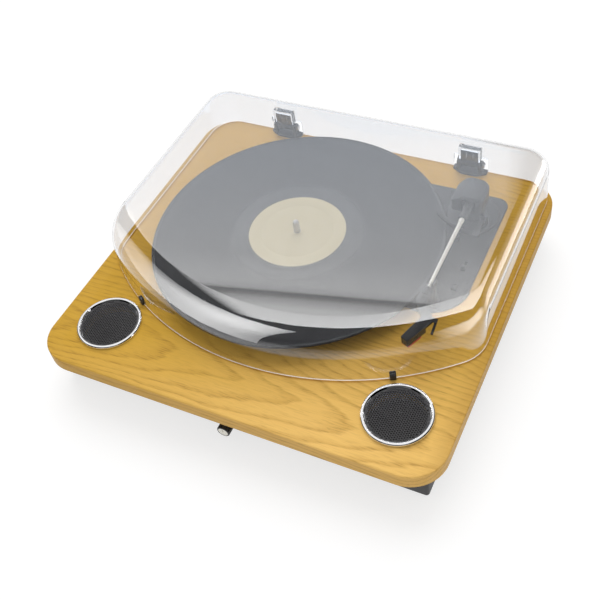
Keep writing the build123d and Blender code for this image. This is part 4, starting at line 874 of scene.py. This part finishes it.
def studio_floor():
    """White floor that shows the camera a light, soft shadow."""
    set_down()
    bpy.ops.mesh.primitive_plane_add(size=FLOOR_SIZE, location=(0, 0, 0))
    floor = bpy.context.object
    floor.name = "studio_floor"
    material, tree = new_material("pale_floor")
    matt = put(tree, "BsdfDiffuse", {"Color": (0.97, 0.97, 0.97, 1.0)})
    glow = put(tree, "Emission", {"Color": rgba(WHITE), "Strength": 1.14})
    path = put(tree, "LightPath").outputs
    mirrored = larger(tree, path["Is Transmission Ray"], path["Is Glossy Ray"])
    share = times(tree, larger(tree, path["Is Camera Ray"], mirrored), 0.62)
    mixed = put(tree, "MixShader", {0: share, 1: matt.outputs["BSDF"], 2: glow.outputs["Emission"]})
    put(tree, "OutputMaterial", {"Surface": mixed.outputs["Shader"]})
    floor.data.materials.append(material)


def panel_glow(name, size, radiance, across, upward, tones):
    """Light that falls off across and up a panel, with a tone that changes upwards."""
    material, tree = new_material(name)
    spot = put(tree, "TexCoord").outputs["Object"]
    shares = {"Vector": spot, "Location": (0.5, 0.5, 0), "Scale": (1 / size[0], 1 / size[1], 1)}
    axes = axes_of(tree, put(tree, "Mapping", shares).outputs["Vector"])
    fall = times(tree, ramp(tree, axes["X"], across), ramp(tree, axes["Y"], upward))
    tone = ramp(tree, axes["Y"], [(i, rgba(tone)) for i, tone in enumerate(tones)], colour=True)
    glow = put(tree, "Emission", {"Color": tone, "Strength": times(tree, fall, radiance)})
    put(tree, "OutputMaterial", {"Surface": glow.outputs["Emission"]})
    return material


def glow_panel(name, place, turn, size, glow, both_skins=False):
    """Far softbox that only the clear cover mirrors, on its outer skin or on both."""
    set_down()
    bpy.ops.mesh.primitive_plane_add(size=1)
    panel = bpy.context.object
    panel.name = name
    panel.scale = (*size, 1)
    bpy.ops.object.transform_apply(location=False, rotation=False, scale=True)
    panel.location = place
    panel.rotation_mode = "QUATERNION"
    panel.rotation_quaternion = turn
    panel.data.materials.append(glow)
    panel.visible_camera = False
    panel.visible_diffuse = False
    panel.visible_shadow = False
    panel.visible_transmission = both_skins
    panel.light_linking.receiver_collection = bpy.data.collections["cover_mirrors"]


def upright_panel(
    name, bearing, spread, rise, radiance, across, upward, tones=(WHITE, WHITE), both_skins=False,
):
    """Softbox placed by its bearing from +X, the angles to its two sides and the rise of its two edges."""
    turn = math.radians(bearing)
    out = Vector((math.cos(turn), math.sin(turn), 0))
    sideways = Vector((-math.sin(turn), math.cos(turn), 0))
    near, far = (PANEL_FAR * math.tan(math.radians(angle)) for angle in spread)
    low, high = (PANEL_FAR * math.tan(math.radians(angle)) for angle in rise)
    place = out * PANEL_FAR + sideways * (near + far) / 2 + Vector((0, 0, (low + high) / 2))
    size = (far - near, high - low)
    glow = panel_glow(name, size, radiance, across, upward, tones)
    glow_panel(name, place, (-out).to_track_quat("-Z", "Y"), size, glow, both_skins)


def level_panel(name, bearing, shift, size, radiance, across, upward):
    """Softbox overhead that faces down, shifted out along its bearing and to the right of it."""
    turn = math.radians(bearing)
    place = Vector((math.cos(turn), math.sin(turn), 0)) * shift[0]
    place += Vector((math.sin(turn), -math.cos(turn), 0)) * shift[1] + Vector((0, 0, PANEL_FAR))
    facing = Quaternion((0, 0, 1), math.radians(bearing - 90)) @ Vector((0, 0, -1)).to_track_quat("-Z", "Y")
    glow_panel(name, place, facing, size, panel_glow(name, size, radiance, across, upward, (WHITE, WHITE)))


def cover_panels(cover):
    """The bright and dark shapes that the studio leaves on the clear cover."""
    mirrors = bpy.data.collections.new("cover_mirrors")
    mirrors.objects.link(cover)
    upright_panel(
        "back_panel", bearing=ROOM_BEARING, spread=(-1.5, 51), rise=(15, 50.35), radiance=3.1,
        across=[(0.0, 0.0), (0.025, 0.85), (0.06, 1.0), (0.5, 0.94)],
        upward=[(0.0, 0.43), (0.5, 0.453), (0.88, 0.785), (0.965, 1.0), (0.985, 0.85), (1.0, 0.15)],
        tones=((0.86, 1.0, 1.2), WHITE), both_skins=True,
    )
    upright_panel(
        "left_panel", bearing=-125, spread=(-60, 18), rise=(0, 60.5), radiance=14.5,
        across=[(0.0, 0.12), (0.35, 0.36), (0.78, 1.0), (0.9, 0.85), (1.0, 0.45)],
        upward=[(0.0, 0.5), (0.5, 1.0), (1.0, 0.75)],
    )
    upright_panel(
        "right_panel", bearing=-12, spread=(-30, 30), rise=(0, 40), radiance=9.0,
        across=[(0.0, 0.0), (0.3, 1.0), (0.75, 1.0), (1.0, 0.0)],
        upward=[(0.0, 0.2), (0.3, 1.0), (0.8, 1.0), (1.0, 0.5)],
    )
    upright_panel(
        "side_panel", bearing=42, spread=(-28, 28), rise=(0, 46), radiance=7.5,
        across=[(0.0, 0.3), (0.3, 1.0), (0.7, 1.0), (1.0, 0.4)],
        upward=[(0.0, 1.0), (0.4, 1.0), (0.55, 0.2), (1.0, 0.08)],
    )
    level_panel(
        "top_panel", bearing=ROOM_BEARING, shift=TOP_PANEL_SHIFT, size=TOP_PANEL_SIZE, radiance=11.2,
        across=[(0.0, 0.0), (0.12, 0.9), (1.0, 1.0)],
        upward=[(0.0, 1.0), (0.88, 0.78), (0.965, 0.62), (0.985, 0.38), (0.995, 0.12), (1.0, 0.03)],
    )


def studio_world():
    """White to the camera and near the horizon, soft for lighting, and dark overhead in reflections."""
    world = bpy.data.worlds.new("studio_world")
    bpy.context.scene.world = world
    world.use_nodes = True
    tree = world.node_tree
    tree.nodes.clear()
    path = put(tree, "LightPath").outputs
    rise = axes_of(tree, put(tree, "TexCoord").outputs["Generated"])["Z"]
    horizon = ramp(tree, rise, [(0.10, 1.0), (0.24, 0.0)])
    beyond = larger(tree, times(tree, path["Is Glossy Ray"], 0.45), path["Is Transmission Ray"])
    white = larger(tree, path["Is Camera Ray"], times(tree, beyond, horizon))
    strength = plus(tree, times(tree, white, 0.94), 0.06)
    strength = plus(tree, strength, times(tree, path["Is Diffuse Ray"], 0.49))
    back = put(tree, "Background", {"Color": rgba(WHITE), "Strength": strength})
    put(tree, "OutputWorld", {"Surface": back.outputs["Background"]})


def key_light():
    """Broad, soft light from behind and above."""
    sun = bpy.data.lights.new("soft_key", "SUN")
    sun.energy = KEY_STRENGTH
    sun.angle = math.radians(KEY_SPREAD)
    key = bpy.data.objects.new("soft_key", sun)
    bpy.context.scene.collection.objects.link(key)
    key.rotation_mode = "QUATERNION"
    key.rotation_quaternion = Vector(KEY_TRAVEL).to_track_quat("-Z", "Y")
    key.visible_glossy = False
    key.visible_transmission = False


def metal_box():
    """Broad overhead softbox that the bright metal pieces mirror."""
    mirrors = bpy.data.collections.new("metal_mirrors")
    for name in METAL_PIECES:
        mirrors.objects.link(bpy.data.objects[name])
    lamp = bpy.data.lights.new("metal_box", "AREA")
    lamp.shape = "RECTANGLE"
    lamp.size = METAL_BOX_SIZE
    lamp.size_y = METAL_BOX_SIZE
    lamp.energy = METAL_BOX_RADIANCE * math.pi * METAL_BOX_SIZE ** 2
    box = bpy.data.objects.new("metal_box", lamp)
    box.location = METAL_BOX_PLACE
    box.visible_camera = False
    box.visible_diffuse = False
    box.light_linking.receiver_collection = mirrors
    bpy.context.scene.collection.objects.link(box)


def photo_camera():
    """Camera where the photograph was taken from."""
    data = bpy.data.cameras.new("photo_camera")
    data.lens = CAMERA_LENS_MM
    data.sensor_width = CAMERA_SENSOR_MM
    data.clip_start = 0.01
    camera = bpy.data.objects.new("photo_camera", data)
    camera.location = CAMERA_PLACE
    camera.rotation_euler = [math.radians(angle) for angle in CAMERA_TURN]
    bpy.context.scene.collection.objects.link(camera)
    bpy.context.scene.camera = camera


studio_floor()
studio_world()
key_light()
metal_box()
cover_panels(cover)
photo_camera()
bpy.context.scene.view_settings.view_transform = "Standard"
